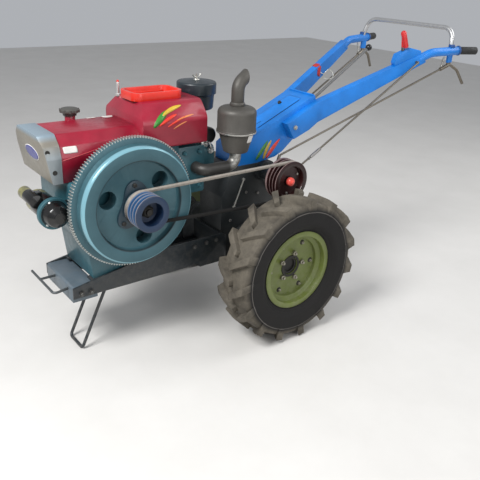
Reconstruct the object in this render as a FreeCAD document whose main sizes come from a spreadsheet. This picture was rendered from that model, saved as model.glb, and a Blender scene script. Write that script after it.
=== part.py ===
import FreeCAD, Part
import math
import os
import re
import Sketcher
from FreeCAD import Placement, Rotation, Vector

# Walking tractor: single-cylinder water-cooled diesel on a rail frame, belt drive to a gearbox
# with the wheel axle, and long handlebars behind. Millimetres. X forward, Y to the left
# (flywheel side), Z up, origin on the floor under the middle of the axle.

doc = FreeCAD.newDocument("WalkingTractor")
sheet = doc.addObject("Spreadsheet::Sheet", "Sizes")

# alias, value
SIZES = (
    # wheels and axle
    ("tyre_radius", 320),
    ("track_half", 400),
    ("tread_radius", 298),
    ("tyre_half", 82),
    ("bead_radius", 156),
    ("tyre_wall", 14),
    ("lug_count", 15),
    ("lug_lead", 32),
    ("lug_root", 26),
    ("lug_end", 34),
    ("rim_radius", 172),
    ("rim_half", 61),
    ("rim_wall", 6),
    ("rim_well", 137),
    ("disc_place", 4),
    ("disc_thick", 8),
    ("disc_bore", 38),
    ("axle_radius", 24),
    ("axle_inner", 104),
    ("hub_flange", 62),
    ("hub_radius", 42),
    ("run_gap", 0.06),
    # gearbox and axle housings
    ("case_half", 84),
    ("case_front", 128),
    ("case_rear", 150),
    ("case_bottom", 206),
    ("case_top", 676),
    ("housing_radius", 50),
    ("housing_end", 312),
    ("housing_flange", 78),
    ("flange_thick", 14),
    # rail frame
    ("rail_out", 133),
    ("rail_web", 8),
    ("rail_flange", 46),
    ("rail_bottom", 284),
    ("bearer_top", 345),
    ("rail_front", 845),
    ("rail_nose", 44),
    ("rail_rise", 400),
    ("rail_crest", 440),
    ("beam_depth", 100),
    ("beam_top", 330),
    ("beam_height", 64),
    ("beam_wall", 8),
    # front stand and bumper wire
    ("stand_x", 655),
    ("stand_z", 309),
    ("pin_radius", 8),
    ("eye_radius", 14),
    ("eye_length", 26),
    ("stand_half", 58),
    ("foot_x", 794),
    ("stand_wire", 6.5),
    ("sleeve_wall", 3.5),
    ("bumper_wire", 5),
    ("bumper_x", 906),
    ("bumper_left", 95),
    ("bumper_right", 130),
    ("bumper_z", 310),
    # engine
    ("crank_x", 615),
    ("crank_z", 652),
    ("base_half", 122),
    ("base_front", 757),
    ("block_left", 150),
    ("block_right", 150),
    ("block_front", 830),
    ("block_top", 742),
    ("head_rear", 236),
    ("head_front", 360),
    ("head_bottom", 604),
    ("head_top", 800),
    ("head_seat", 120),
    ("head_half", 98),
    ("rocker_rear", 172),
    ("cover_right", 204),
    ("ring_radius", 243),
    ("ring_back", 172),
    ("ring_width", 24),
    ("wheel_radius", 222),
    ("wheel_front", 247),
    ("recess_radius", 172),
    ("recess_depth", 22),
    ("crank_radius", 30),
    ("pulley_radius", 68),
    ("pulley_front", 334),
    ("belt_plane", 262),
    ("groove_pitch", 19),
    ("groove_depth", 13),
    ("groove_mouth", 17),
    ("groove_foot", 9),
    ("belt_gap", 0.4),
    ("clutch_x", -95),
    ("clutch_z", 636),
    ("clutch_radius", 89),
    ("clutch_front", 276),
    ("clutch_back", 206),
    ("clutch_shaft", 18),
    ("boss_radius", 36),
    # tank, hopper and their hood
    ("hood_middle", -28),
    ("hood_half", 141),
    ("hood_bottom", 742),
    ("hood_top", 905),
    ("hood_crease", 832),
    ("hood_front", 880),
    ("hood_lean", 32),
    ("hood_split", 530),
    ("hopper_rear", 244),
    ("hopper_top", 984),
    ("hopper_bottom", 818),
    ("hopper_grow", 12),
    ("cap_lip", 34),
    ("cap_sheet", 3),
    ("cap_depth", 6),
    ("fuel_x", 700),
    ("fuel_y", -140),
    ("fuel_neck", 20),
    ("fuel_rise", 12),
    ("fuel_radius", 26),
    ("filler_x", 410),
    ("filler_y", -24),
    ("filler_long", 220),
    ("filler_wide", 136),
    ("filler_high", 30),
    # breathing
    ("cleaner_x", 157),
    ("cleaner_y", -86),
    ("cleaner_radius", 84),
    ("cleaner_bottom", 905),
    ("cleaner_top", 1026),
    ("intake_radius", 24),
    ("intake_x", 290),
    ("intake_z", 740),
    ("intake_out", -134),
    ("muffler_x", 122),
    ("muffler_y", 156),
    ("muffler_radius", 81),
    ("muffler_bottom", 772),
    ("muffler_top", 965),
    ("pipe_radius", 26),
    ("pipe_wall", 3),
    ("port_z", 712),
    ("port_radius", 24),
    # starter motor
    ("starter_flange", 54),
    ("starter_z", 634),
    ("starter_radius", 44),
    ("starter_left", 165),
    ("starter_right", -66),
    # handlebars
    ("box_half", 84),
    ("box_sheet", 4),
    ("arm_width", 40),
    ("arm_rear", -370),
    ("bend_x", -940),
    ("bend_y", 265),
    ("bend_z", 1134),
    ("tube_radius", 20),
    ("grip_x", -1112),
    ("grip_y", 293),
    ("grip_end_x", -1206),
    ("grip_end_y", 328),
    ("grip_z", 1141),
    ("grip_radius", 18),
    ("hoop_x", -1066),
    ("hoop_y", 282),
    ("hoop_top", 1241),
    ("hoop_lean", 20),
    ("hoop_radius", 11),
    ("hoop_bend", 60),
    # rear hitch
    ("hitch_x", -182),
    ("hitch_z", 262),
    ("hitch_half", 46),
    ("hitch_high", 42),
    ("hitch_slot", 26),
    ("hitch_ear", 14),
    ("hitch_bore", 13),
)
for line, (alias, size) in enumerate(SIZES, start=1):
    sheet.set(f"A{line}", alias)
    sheet.set(f"B{line}", str(size))
    sheet.setAlias(f"B{line}", alias)
doc.recompute()
ALIASES = {alias for alias, size in SIZES}


def cell(text):
    """An expression in which each size is read from the sheet."""
    return re.sub(r"[a-z]\w*", lambda word: "Sizes." + word[0] if word[0] in ALIASES else word[0], str(text))


def number(text):
    value = sheet.evalExpression(cell(text))
    return float(getattr(value, "Value", value))


def place(thing, x="0", y="0", z="0"):
    for axis, text in (("x", x), ("y", y), ("z", z)):
        thing.setExpression("Placement.Base." + axis, cell(text))


SECTIONS = {}


def new_body(label, kept=True):
    body = doc.addObject("PartDesign::Body", label)
    body.Label = label
    if kept:
        SECTIONS[label] = body
    return body


def new_sketch(body, plane, offset="0"):
    """A sketch on one of the body's planes: XY looks up, YZ looks forward, XZ looks to the right."""
    sketch = body.newObject("Sketcher::SketchObject", body.Name + "_outline")
    origin = [f for f in body.Origin.OriginFeatures if f.Role == plane + "_Plane"][0]
    sketch.AttachmentSupport = [(origin, "")]
    sketch.MapMode = "FlatFace"
    sketch.setExpression("AttachmentOffset.Base.z", cell(offset))
    return sketch


def pin_point(sketch, geometry, end, x, y):
    for kind, text in (("DistanceX", x), ("DistanceY", y)):
        index = sketch.addConstraint(Sketcher.Constraint(kind, -1, 1, geometry, end, number(text)))
        sketch.setExpression(f"Constraints[{index}]", cell(text))


def draw_outline(sketch, corners):
    """A closed outline. Each corner is (across, up) or (across, up, radius)."""
    count = len(corners)
    tips = [Vector(number(c[0]), number(c[1]), 0) for c in corners]
    radii = [number(c[2]) if len(c) > 2 else 0 for c in corners]
    into, out, middles, lefts = [], [], [], []
    for i in range(count):
        before = (tips[i - 1] - tips[i]).normalize()
        after = (tips[(i + 1) % count] - tips[i]).normalize()
        if not radii[i]:
            for row in (into, out, middles):
                row.append(tips[i])
            lefts.append(True)
            continue
        half = before.getAngle(after) / 2
        reach = radii[i] / math.tan(half)
        into.append(tips[i] + before * reach)
        out.append(tips[i] + after * reach)
        middles.append(tips[i] + (before + after).normalize() * (radii[i] / math.sin(half)))
        lefts.append(before.cross(after).z < 0)
    lines = []
    for i in range(count):
        lines.append(sketch.addGeometry(Part.LineSegment(out[i], into[(i + 1) % count]), False))
    for i in range(count):
        before, after = lines[i - 1], lines[i]
        if not radii[i]:
            sketch.addConstraint(Sketcher.Constraint("Coincident", before, 2, after, 1))
            pin_point(sketch, after, 1, corners[i][0], corners[i][1])
            continue
        first, last = (into[i], out[i]) if lefts[i] else (out[i], into[i])
        angles = [math.atan2(p.y - middles[i].y, p.x - middles[i].x) for p in (first, last)]
        circle = Part.Circle(middles[i], Vector(0, 0, 1), radii[i])
        arc = sketch.addGeometry(Part.ArcOfCircle(circle, angles[0], angles[1]), False)
        corner = sketch.addGeometry(Part.Point(tips[i]), True)
        start, stop = (1, 2) if lefts[i] else (2, 1)
        sketch.addConstraint(Sketcher.Constraint("Tangent", before, 2, arc, start))
        sketch.addConstraint(Sketcher.Constraint("Tangent", arc, stop, after, 1))
        index = sketch.addConstraint(Sketcher.Constraint("Radius", arc, radii[i]))
        sketch.setExpression(f"Constraints[{index}]", cell(corners[i][2]))
        sketch.addConstraint(Sketcher.Constraint("PointOnObject", corner, 1, before))
        sketch.addConstraint(Sketcher.Constraint("PointOnObject", corner, 1, after))
        pin_point(sketch, corner, 1, corners[i][0], corners[i][1])


def draw_circle(sketch, x, y, radius):
    circle = Part.Circle(Vector(number(x), number(y), 0), Vector(0, 0, 1), number(radius))
    index = sketch.addGeometry(circle, False)
    pin_point(sketch, index, 3, x, y)
    constraint = sketch.addConstraint(Sketcher.Constraint("Radius", index, number(radius)))
    sketch.setExpression(f"Constraints[{constraint}]", cell(radius))


def draw(sketch, shapes):
    for shape in shapes:
        if len(shape) == 3 and isinstance(shape[0], str):
            draw_circle(sketch, *shape)
        else:
            draw_outline(sketch, shape)


def slab(body, plane, low, high, *shapes, cut=False):
    """Outlines made solid, or cut away, between two places along the plane's world axis."""
    offset = f"-({high})" if plane == "XZ" else low
    sketch = new_sketch(body, plane, offset)
    draw(sketch, shapes)
    before = body.Shape.Volume if cut else 0
    feature = body.newObject("PartDesign::Pocket" if cut else "PartDesign::Pad", body.Name + "_slab")
    feature.Profile = sketch
    feature.setExpression("Length", cell(f"({high}) - ({low})"))
    if cut:
        feature.Reversed = True
    doc.recompute()
    if cut and not feature.Shape.Volume < before:
        raise ValueError(body.Label + ": a cut removed nothing")
    return feature


def turn(body, *shapes, cut=False):
    """Outlines given as (along Y, radius), turned about the Y axis."""
    sketch = new_sketch(body, "YZ")
    draw(sketch, shapes)
    feature = body.newObject("PartDesign::Groove" if cut else "PartDesign::Revolution", body.Name + "_turn")
    feature.Profile = sketch
    feature.ReferenceAxis = (sketch, ["H_Axis"])
    feature.Angle = 360
    doc.recompute()
    return feature


def around(body, feature, count):
    """The feature repeated about the body's Y axis."""
    pattern = body.newObject("PartDesign::PolarPattern", body.Name + "_round")
    pattern.Originals = [feature]
    axis = [f for f in body.Origin.OriginFeatures if f.Role == "Y_Axis"][0]
    pattern.Axis = (axis, [""])
    pattern.Angle = 360
    pattern.setExpression("Occurrences", cell(count))
    body.Tip = pattern
    doc.recompute()
    return pattern


def upright(body, *shapes, cut=False, x="0", y="0"):
    """Outlines given as (radius, height), turned about a vertical axis through (x, y)."""
    sketch = new_sketch(body, "XZ")
    draw(sketch, shapes)
    feature = body.newObject("PartDesign::Groove" if cut else "PartDesign::Revolution", body.Name + "_turn")
    feature.Profile = sketch
    feature.ReferenceAxis = (sketch, ["V_Axis"])
    feature.Angle = 360
    place(body, x, y)
    doc.recompute()
    return feature


def bent_path(corners):
    """Straight runs joined by tangent arcs. Each corner is (point, bend radius)."""
    edges = []
    last = corners[0][0]
    for i in range(1, len(corners) - 1):
        tip, radius = corners[i]
        before = (corners[i - 1][0] - tip).normalize()
        after = (corners[i + 1][0] - tip).normalize()
        half = before.getAngle(after) / 2
        reach = radius / math.tan(half)
        start, stop = tip + before * reach, tip + after * reach
        inward = (before + after).normalize()
        middle = tip + inward * (radius / math.sin(half) - radius)
        if (start - last).Length > 1e-6:
            edges.append(Part.LineSegment(last, start).toShape())
        edges.append(Part.Arc(start, middle, stop).toShape())
        last = stop
    edges.append(Part.LineSegment(last, corners[-1][0]).toShape())
    return Part.Wire(edges)


def swept(path, radius, bore=0):
    """A round rod or tube along a path."""
    first = path.Edges[0]
    start = first.valueAt(first.FirstParameter)
    along = first.tangentAt(first.FirstParameter)
    shape = None
    for r in (radius, bore):
        if not r:
            continue
        ring = Part.Wire(Part.makeCircle(r, start, along))
        solid = path.makePipeShell([ring], True, False)
        shape = solid if shape is None else shape.cut(solid)
    return shape


def bar(p, q, radius, second=None):
    along = q - p
    if second is None:
        return Part.makeCylinder(radius, along.Length, p, along)
    return Part.makeCone(radius, second, along.Length, p, along)


def made(label, shape):
    """A bent or slanting piece, its shape worked out from the sheet's sizes."""
    if len(shape.Solids) == 1:
        shape = shape.Solids[0]
    feature = doc.addObject("Part::Feature", label)
    feature.Label = label
    feature.Shape = shape
    SECTIONS[label] = feature
    return feature


def spot(x, y, z):
    return Vector(number(x), number(y), number(z))


SIDES = (("left", 1), ("right", -1))

# Wheels. Each turns about the Y axis through its own middle: a tyre with slanting bar lugs, a
# dropped-centre rim whose disc lies a little outboard, and a half axle with its hub flange.
for side, way in SIDES:
    tyre = new_body("tyre_" + side)
    turn(tyre, (
        ("-rim_half + 4", "bead_radius"), ("-rim_half + 4", "rim_radius + 4"),
        ("-tyre_half", "205", "28"), ("-tyre_half", "262", "34"), ("-tyre_half + 12", "tread_radius - 6", "10"),
        ("0", "tread_radius"),
        ("tyre_half - 12", "tread_radius - 6", "10"), ("tyre_half", "262", "34"), ("tyre_half", "205", "28"),
        ("rim_half - 4", "rim_radius + 4"), ("rim_half - 4", "bead_radius"),
    ))
    for half, turn_by in ((1, "0 deg"), (-1, "180 deg / lug_count")):
        lug = slab(tyre, "XY", "tread_radius - 45", "tyre_radius + 8", (
            ("lug_lead - lug_root / 2", f"{half} * -6"), ("lug_lead + lug_root / 2", f"{half} * -6"),
            ("lug_end / 2 - lug_lead", f"{half} * (tyre_half + 1)"),
            ("-lug_end / 2 - lug_lead", f"{half} * (tyre_half + 1)"),
        ))
        sketch = lug.Profile[0]
        sketch.AttachmentOffset = Placement(Vector(0, 0, 0), Rotation(Vector(0, 1, 0), 0))
        sketch.setExpression("AttachmentOffset.Rotation.Angle", cell(turn_by))
        sketch.setExpression("AttachmentOffset.Base.x", cell(f"sin({turn_by}) * (tread_radius - 45)"))
        sketch.setExpression("AttachmentOffset.Base.z", cell(f"cos({turn_by}) * (tread_radius - 45)"))
        doc.recompute()
        around(tyre, lug, "lug_count")
    turn(tyre, (
        ("-tyre_half - 10", "tyre_radius - 8"), ("-50", "tyre_radius"), ("50", "tyre_radius"),
        ("tyre_half + 10", "tyre_radius - 8"), ("tyre_half + 10", "tyre_radius + 40"),
        ("-tyre_half - 10", "tyre_radius + 40"),
    ), cut=True)
    turn(tyre, (
        ("-rim_half + 4 + tyre_wall", "bead_radius - 8"), ("-rim_half + 4 + tyre_wall", "bead_radius + 24"),
        ("-tyre_half + tyre_wall", "215"), ("-tyre_half + tyre_wall + 4", "tread_radius - 34"),
        ("0", "tread_radius - 20"),
        ("tyre_half - tyre_wall - 4", "tread_radius - 34"), ("tyre_half - tyre_wall", "215"),
        ("rim_half - 4 - tyre_wall", "bead_radius + 24"), ("rim_half - 4 - tyre_wall", "bead_radius - 8"),
    ), cut=True)
    place(tyre, "0", f"{way} * track_half", "tyre_radius")

    rim = new_body("rim_" + side)
    turn(rim, tuple((f"{way} * ({along})", radius) for along, radius in (
        ("-rim_half", "rim_radius"), ("4 - rim_half", "rim_radius"), ("4 - rim_half", "bead_radius"),
        ("-32", "bead_radius"), ("-24", "rim_well"), ("24", "rim_well"), ("32", "bead_radius"),
        ("rim_half - 4", "bead_radius"), ("rim_half - 4", "rim_radius"), ("rim_half", "rim_radius"),
        ("rim_half", "bead_radius - rim_wall"), ("36", "bead_radius - rim_wall"), ("28", "rim_well - rim_wall"),
        ("disc_place + disc_thick", "rim_well - rim_wall"), ("disc_place + disc_thick", "disc_bore"),
        ("disc_place", "disc_bore"), ("disc_place", "rim_well - rim_wall"),
        ("-28", "rim_well - rim_wall"), ("-36", "bead_radius - rim_wall"), ("-rim_half", "bead_radius - rim_wall"),
    )))
    place(rim, "0", f"{way} * track_half", "tyre_radius")

    axle = new_body("half_axle_" + side)
    turn(axle, tuple((f"{way} * ({along})", radius) for along, radius in (
        ("axle_inner - track_half", "0"), ("axle_inner - track_half", "axle_radius"),
        ("housing_end + 8 - track_half", "axle_radius"), ("housing_end + 8 - track_half", "hub_radius"),
        ("disc_place - 14", "hub_radius"), ("disc_place - 14", "hub_flange"), ("disc_place", "hub_flange"),
        ("disc_place", "disc_bore - 8"), ("disc_place - 10", "disc_bore - 8"), ("disc_place - 10", "0"),
    )))
    place(axle, "0", f"{way} * track_half", "tyre_radius")

    housing = new_body("axle_housing_" + side)
    turn(housing, tuple((f"{way} * ({along})", radius) for along, radius in (
        ("case_half", "axle_radius + run_gap"), ("case_half", "housing_flange"),
        ("case_half + flange_thick", "housing_flange"), ("case_half + flange_thick", "housing_radius + 12"),
        ("case_half + 60", "housing_radius"), ("housing_end - 26", "housing_radius - 4"),
        ("housing_end - 26", "housing_radius + 6"), ("housing_end", "housing_radius + 6"),
        ("housing_end", "axle_radius + run_gap"),
    )))
    place(housing, "0", "0", "tyre_radius")

# Gearbox. One tall casting: the axle runs through its foot, the clutch shaft through its head.
case = new_body("gearbox")
slab(case, "XZ", "-case_half", "case_half", (
    ("case_front", "case_bottom + 40", "30"), ("case_front", "case_top - 130", "20"),
    ("70", "case_top", "14"), ("-case_rear - 10", "case_top", "40"),
    ("-case_rear - 30", "case_top - 150", "30"), ("-case_rear + 40", "case_bottom + 120", "30"),
    ("-case_rear + 40", "case_bottom", "16"), ("40", "case_bottom", "60"),
))
slab(case, "XZ", "case_half", "case_half + 26", ("clutch_x", "clutch_z", "boss_radius + 10"))
slab(case, "XZ", "case_half + 26", "clutch_back - 40", ("clutch_x", "clutch_z", "boss_radius"))
slab(case, "XZ", "case_half", "clutch_back - 40", ("clutch_x", "clutch_z", "clutch_shaft + run_gap"), cut=True)

# Rail frame. Two pressed side rails with a bearer for the engine, and a cross beam at the nose.
for side, way in SIDES:
    rail = new_body("frame_rail_" + side)
    outer, inner = ("rail_out", "rail_out - rail_web") if way > 0 else ("rail_web - rail_out", "-rail_out")
    slab(rail, "XZ", inner, outer, (
        ("rail_front", "rail_bottom"), ("rail_front", "rail_bottom + rail_nose"),
        ("rail_crest", "rail_rise", "60"), ("case_front + 12", "rail_rise", "20"),
        ("case_front + 12", "rail_bottom - 14"), ("270", "rail_bottom - 14"), ("290", "rail_bottom"),
    ))
    low, high = ("rail_out - rail_flange", inner) if way > 0 else (outer, "rail_flange - rail_out")
    slab(rail, "XZ", low, high, (
        ("rail_front - beam_depth - 2", "rail_bottom"), ("rail_front - beam_depth - 2", "rail_bottom + rail_web"),
        ("case_front + 12", "rail_bottom + rail_web"), ("case_front + 12", "rail_bottom"),
    ))
    slab(rail, "XZ", low, high, (
        ("base_front + 10", "bearer_top - rail_web"), ("base_front + 10", "bearer_top"),
        ("400", "bearer_top"), ("400", "bearer_top - rail_web"),
    ))

beam = new_body("front_beam")
beam_in = "rail_out - rail_web"
slab(beam, "XZ", f"-({beam_in})", beam_in, (
    ("rail_front", "beam_top - beam_height"), ("rail_front", "beam_top", "10"),
    ("rail_front - beam_depth", "beam_top", "10"), ("rail_front - beam_depth", "beam_top - beam_height"),
))
slab(beam, "XZ", f"-({beam_in}) + beam_wall", f"{beam_in} - beam_wall", (
    ("rail_front - beam_wall", "beam_top - beam_height - 5"), ("rail_front - beam_wall", "beam_top - beam_wall"),
    ("rail_front - beam_depth + beam_wall", "beam_top - beam_wall"),
    ("rail_front - beam_depth + beam_wall", "beam_top - beam_height - 5"),
), cut=True)

# Gearbox bracket. Joins the rails' rear ends to the front of the gearbox.
bracket = new_body("gearbox_bracket")
slab(bracket, "XY", "rail_bottom - 14", "bearer_top + 40", (
    ("case_front", f"-({beam_in})"), ("case_front + 70", f"-({beam_in})"),
    ("case_front + 70", "12 - rail_out + rail_web"),
    ("case_front + 12", "12 - rail_out + rail_web"), ("case_front + 12", "rail_out - rail_web - 12"),
    ("case_front + 70", "rail_out - rail_web - 12"), ("case_front + 70", beam_in), ("case_front", beam_in),
))
slab(bracket, "YZ", "case_front + 12", "case_front + 70", *[(
    (f"{way} * (rail_out - rail_flange - 1)", "rail_bottom - 1"), (f"{way} * (rail_out + 1)", "rail_bottom - 1"),
    (f"{way} * (rail_out + 1)", "rail_bottom + rail_web"),
    (f"{way} * (rail_out - rail_flange - 1)", "rail_bottom + rail_web")) for way in (1, -1)], cut=True)

# Front stand. A bent wire that hinges on a cross pin between the rails and leans forward when down.
pin = new_body("stand_pin")
slab(pin, "XZ", f"-({beam_in})", beam_in, ("stand_x", "stand_z", "pin_radius"))

half, wire = number("stand_half"), number("stand_wire")
top = spot("stand_x", "0", "stand_z")
foot = spot("foot_x", "0", "stand_wire")
lean = (foot - top).normalize()
legs = bent_path((
    (top + lean * 9 + Vector(0, half, 0), 0), (foot + Vector(0, half, 0), 16),
    (foot - Vector(0, half, 0), 16), (top + lean * 9 - Vector(0, half, 0), 0)))
stand = swept(legs, wire)
for way in (1, -1):
    middle = top + Vector(0, way * half, 0)
    reach = Vector(0, number("eye_length") / 2, 0)
    stand = stand.fuse(bar(middle - reach, middle + reach, number("eye_radius")))
    stand = stand.fuse(bar(middle + lean * 8, middle + lean * 62, wire + number("sleeve_wall")))
stand = stand.cut(bar(top - Vector(0, 90, 0), top + Vector(0, 90, 0), number("pin_radius + run_gap")))
made("stand", stand)

nose, height, front = number("rail_front"), number("bumper_z"), number("bumper_x")
guard = swept(bent_path((
    (Vector(nose - 6, 79, height), 0), (Vector(front, number("bumper_left"), height), 14),
    (Vector(front, -number("bumper_right"), height), 0))), number("bumper_wire"))
stay = bar(Vector(nose - 6, -45, height), Vector(front, -45, height), number("bumper_wire"))
guard = guard.fuse(stay).cut(Part.makeBox(40, 300, 60, Vector(nose - 40, -150, height - 30)))
made("front_bumper", guard)

# Engine. Crankcase with its foot, cylinder head and rocker cover to the rear, timing cover right.
block = new_body("crankcase")
slab(block, "XZ", "-base_half", "base_half", (
    ("base_front", "bearer_top"), ("base_front + 16", "470"), ("base_front + 16", "560"),
    ("470", "560"), ("450", "430"), ("440", "bearer_top"),
))
slab(block, "XZ", "-block_right", "block_left", (
    ("base_front + 16", "480", "20"), ("block_front", "570", "20"), ("block_front", "block_top", "12"),
    ("head_front + 60", "block_top", "12"), ("head_front + 60", "500", "40"), ("470", "470", "30"),
))
slab(block, "XZ", "-head_half", "head_half", (
    ("head_front", "head_bottom"), ("head_front", "hopper_bottom"), ("head_front + head_seat", "hopper_bottom"),
    ("head_front + head_seat", "head_bottom - 30"),
))
slab(block, "XZ", "block_left - 62", "block_left", ("crank_x", "crank_z", "crank_radius + run_gap"), cut=True)

timing = new_body("timing_cover")
slab(timing, "XZ", "-cover_right", "-block_right", (
    ("base_front - 20", "490", "40"), ("block_front - 30", "600", "40"), ("block_front - 30", "block_top - 20", "30"),
    ("head_front + 90", "block_top - 20", "30"), ("head_front + 90", "540", "50"),
))
slab(timing, "XZ", "-cover_right - 14", "-cover_right", ("crank_x", "crank_z", "48"))

head = new_body("cylinder_head")
slab(head, "XZ", "-head_half", "head_half", (
    ("head_rear", "head_bottom", "10"), ("head_rear", "head_top", "10"),
    ("head_front", "head_top"), ("head_front", "head_bottom"),
))

rocker = new_body("rocker_cover")
slab(rocker, "YZ", "rocker_rear", "head_rear", (
    ("12 - head_half", "head_bottom + 40", "24"), ("head_half - 22", "head_bottom + 40", "24"),
    ("head_half - 22", "head_top - 14", "24"), ("12 - head_half", "head_top - 14", "24"),
))

# Flywheel on its shaft, with the starter ring round its back edge and three round holes in its dished face.
fly = new_body("flywheel")
turn(fly, (
    ("block_left - 60", "0"), ("block_left - 60", "crank_radius"), ("ring_back", "crank_radius"),
    ("ring_back", "ring_radius"),
    ("ring_back + ring_width", "ring_radius"), ("ring_back + ring_width", "wheel_radius"),
    ("wheel_front - 6", "wheel_radius"), ("wheel_front", "wheel_radius - 6"),
    ("wheel_front", "recess_radius"), ("wheel_front - recess_depth", "recess_radius - 6"),
    ("wheel_front - recess_depth", "62"), ("wheel_front - 2", "56"), ("wheel_front - 2", "0"),
))
hole = slab(fly, "XZ", "ring_back - 5", "wheel_front + 5", ("118", "40", "34"), cut=True)
around(fly, hole, "3")
place(fly, "crank_x", "0", "crank_z")


def grooves(radius, back, front, first, ways):
    """The rim of a belt pulley as (along, radius), from its back to its front."""
    rows = [(back, radius)]
    for step in ways:
        middle = f"{first} + {step} * groove_pitch"
        rows += [
            (f"{middle} - groove_mouth / 2", radius), (f"{middle} - groove_foot / 2", f"{radius} - groove_depth"),
            (f"{middle} + groove_foot / 2", f"{radius} - groove_depth"), (f"{middle} + groove_mouth / 2", radius)]
    return rows + [(front, radius)]


drive = new_body("engine_pulley")
turn(drive, tuple(
    [("wheel_front - 2", "0")]
    + [("wheel_front - 2", "pulley_radius - 16"), ("wheel_front + 4", "pulley_radius - 16")]
    + grooves("pulley_radius", "wheel_front + 4", "pulley_front", "belt_plane", (0, 1, 2, 3))
    + [("pulley_front", "pulley_radius - 24"), ("pulley_front - 46", "pulley_radius - 24"),
       ("pulley_front - 46", "0")]))
place(drive, "crank_x", "0", "crank_z")

# Clutch pulley, on the gearbox's upper shaft, three grooves and an open dished front.
clutch = new_body("clutch_pulley")
turn(clutch, tuple(
    [("case_half + 8", "0"), ("case_half + 8", "clutch_shaft"), ("clutch_back - 34", "clutch_shaft"),
     ("clutch_back - 34", "44"), ("clutch_back", "60"), ("clutch_back", "clutch_radius - 16")]
    + grooves("clutch_radius", "clutch_back", "clutch_front", "belt_plane", (-2, -1, 0))
    + [("clutch_front", "clutch_radius - 20"), ("clutch_front - 24", "clutch_radius - 26"),
       ("clutch_front - 24", "20"), ("clutch_front - 6", "16"), ("clutch_front - 6", "0")]))
place(clutch, "clutch_x", "0", "clutch_z")


def belt_loop(first, second, r_first, r_second, y):
    """The line of a belt round two pulleys, outside both."""
    span = second - first
    slant = math.atan2(span.z, span.x)
    swing = math.acos((r_first - r_second) / span.Length)

    def rim(centre, radius, angle):
        return centre + Vector(radius * math.cos(angle), 0, radius * math.sin(angle)) + Vector(0, y, 0)
    up, down = slant + swing, slant - swing
    points = (
        rim(first, r_first, up), rim(second, r_second, up), rim(second, r_second, slant), rim(second, r_second, down),
        rim(first, r_first, down), rim(first, r_first, slant + math.pi))
    return Part.Wire([
        Part.LineSegment(points[0], points[1]).toShape(), Part.Arc(points[1], points[2], points[3]).toShape(),
        Part.LineSegment(points[3], points[4]).toShape(), Part.Arc(points[4], points[5], points[0]).toShape()])


# Drive belt. A closed loop of wedge section that lies in the first groove of both pulleys.
crank, shaft = spot("crank_x", "0", "crank_z"), spot("clutch_x", "0", "clutch_z")
gap, mouth = number("belt_gap"), number("groove_mouth")
taper = (mouth - number("groove_foot")) / 2 / number("groove_depth")
wedge = [(-0.5, mouth / 2 - gap), (number("groove_depth") - 3, 0)]
wedge[1] = (wedge[1][0], mouth / 2 - gap - taper * wedge[1][0])
loop = belt_loop(crank, shaft, number("pulley_radius"), number("clutch_radius"), number("belt_plane"))
begin = loop.Edges[0].valueAt(loop.Edges[0].FirstParameter)
outward = loop.Edges[0].tangentAt(loop.Edges[0].FirstParameter).cross(Vector(0, 1, 0))
if outward.dot(begin - crank) < 0:
    outward = outward * -1
section = Part.makePolygon([
    begin - outward * depth + Vector(0, way * half_width, 0)
    for depth, half_width, way in (
        (wedge[0][0], wedge[0][1], -1), (wedge[0][0], wedge[0][1], 1),
        (wedge[1][0], wedge[1][1], 1), (wedge[1][0], wedge[1][1], -1), (wedge[0][0], wedge[0][1], -1))])
made("drive_belt", loop.makePipeShell([section], True, False))

# Tank and hopper under a pressed hood, with the bright cap over its nose.
def hood_section(grow, top, bottom):
    return (
        (f"hood_middle + hood_half + {grow}", bottom), (f"hood_middle + hood_half + {grow}", "hood_crease", "20"),
        (f"hood_middle + hood_half - 14 + {grow}", f"{top} - 34 + {grow}", "12"),
        (f"hood_middle + hood_half - 52 + {grow}", f"{top} + {grow}", "16"),
        (f"hood_middle - hood_half + 52 - {grow}", f"{top} + {grow}", "16"),
        (f"hood_middle - hood_half + 14 - {grow}", f"{top} - 34 + {grow}", "12"),
        (f"hood_middle - hood_half - {grow}", "hood_crease", "20"), (f"hood_middle - hood_half - {grow}", bottom))


tank = new_body("fuel_tank")
slab(tank, "YZ", "hood_split", "hood_front + hood_lean", hood_section("0", "hood_top", "hood_bottom"))
slab(tank, "XZ", "hood_middle - hood_half - 20", "hood_middle + hood_half + 20", (
    ("hood_front - cap_depth", "hood_bottom - 1"), ("hood_front + hood_lean - cap_depth", "hood_top + 10"),
    ("hood_front + hood_lean + 20", "hood_top + 10"), ("hood_front + hood_lean + 20", "hood_bottom - 1"),
), cut=True)

slab(tank, "XY", "hood_crease", "hood_top + fuel_rise", ("fuel_x", "fuel_y", "fuel_neck"))

cap = new_body("hood_cap_block", kept=False)
slab(cap, "YZ", "hood_front - cap_lip", "hood_front + hood_lean + 10",
     hood_section("cap_sheet", "hood_top", "hood_bottom"))
slab(cap, "XZ", "hood_middle - hood_half - 20", "hood_middle + hood_half + 20", (
    ("hood_front", "hood_bottom - 1"), ("hood_front + hood_lean", "hood_top + 10"),
    ("hood_front + hood_lean + 20", "hood_top + 10"), ("hood_front + hood_lean + 20", "hood_bottom - 1"),
), cut=True)
hood_cap = doc.addObject("Part::Cut", "hood_cap")
hood_cap.Base = cap
hood_cap.Tool = tank
hood_cap.Label = "hood_cap"
SECTIONS["hood_cap"] = hood_cap

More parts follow.
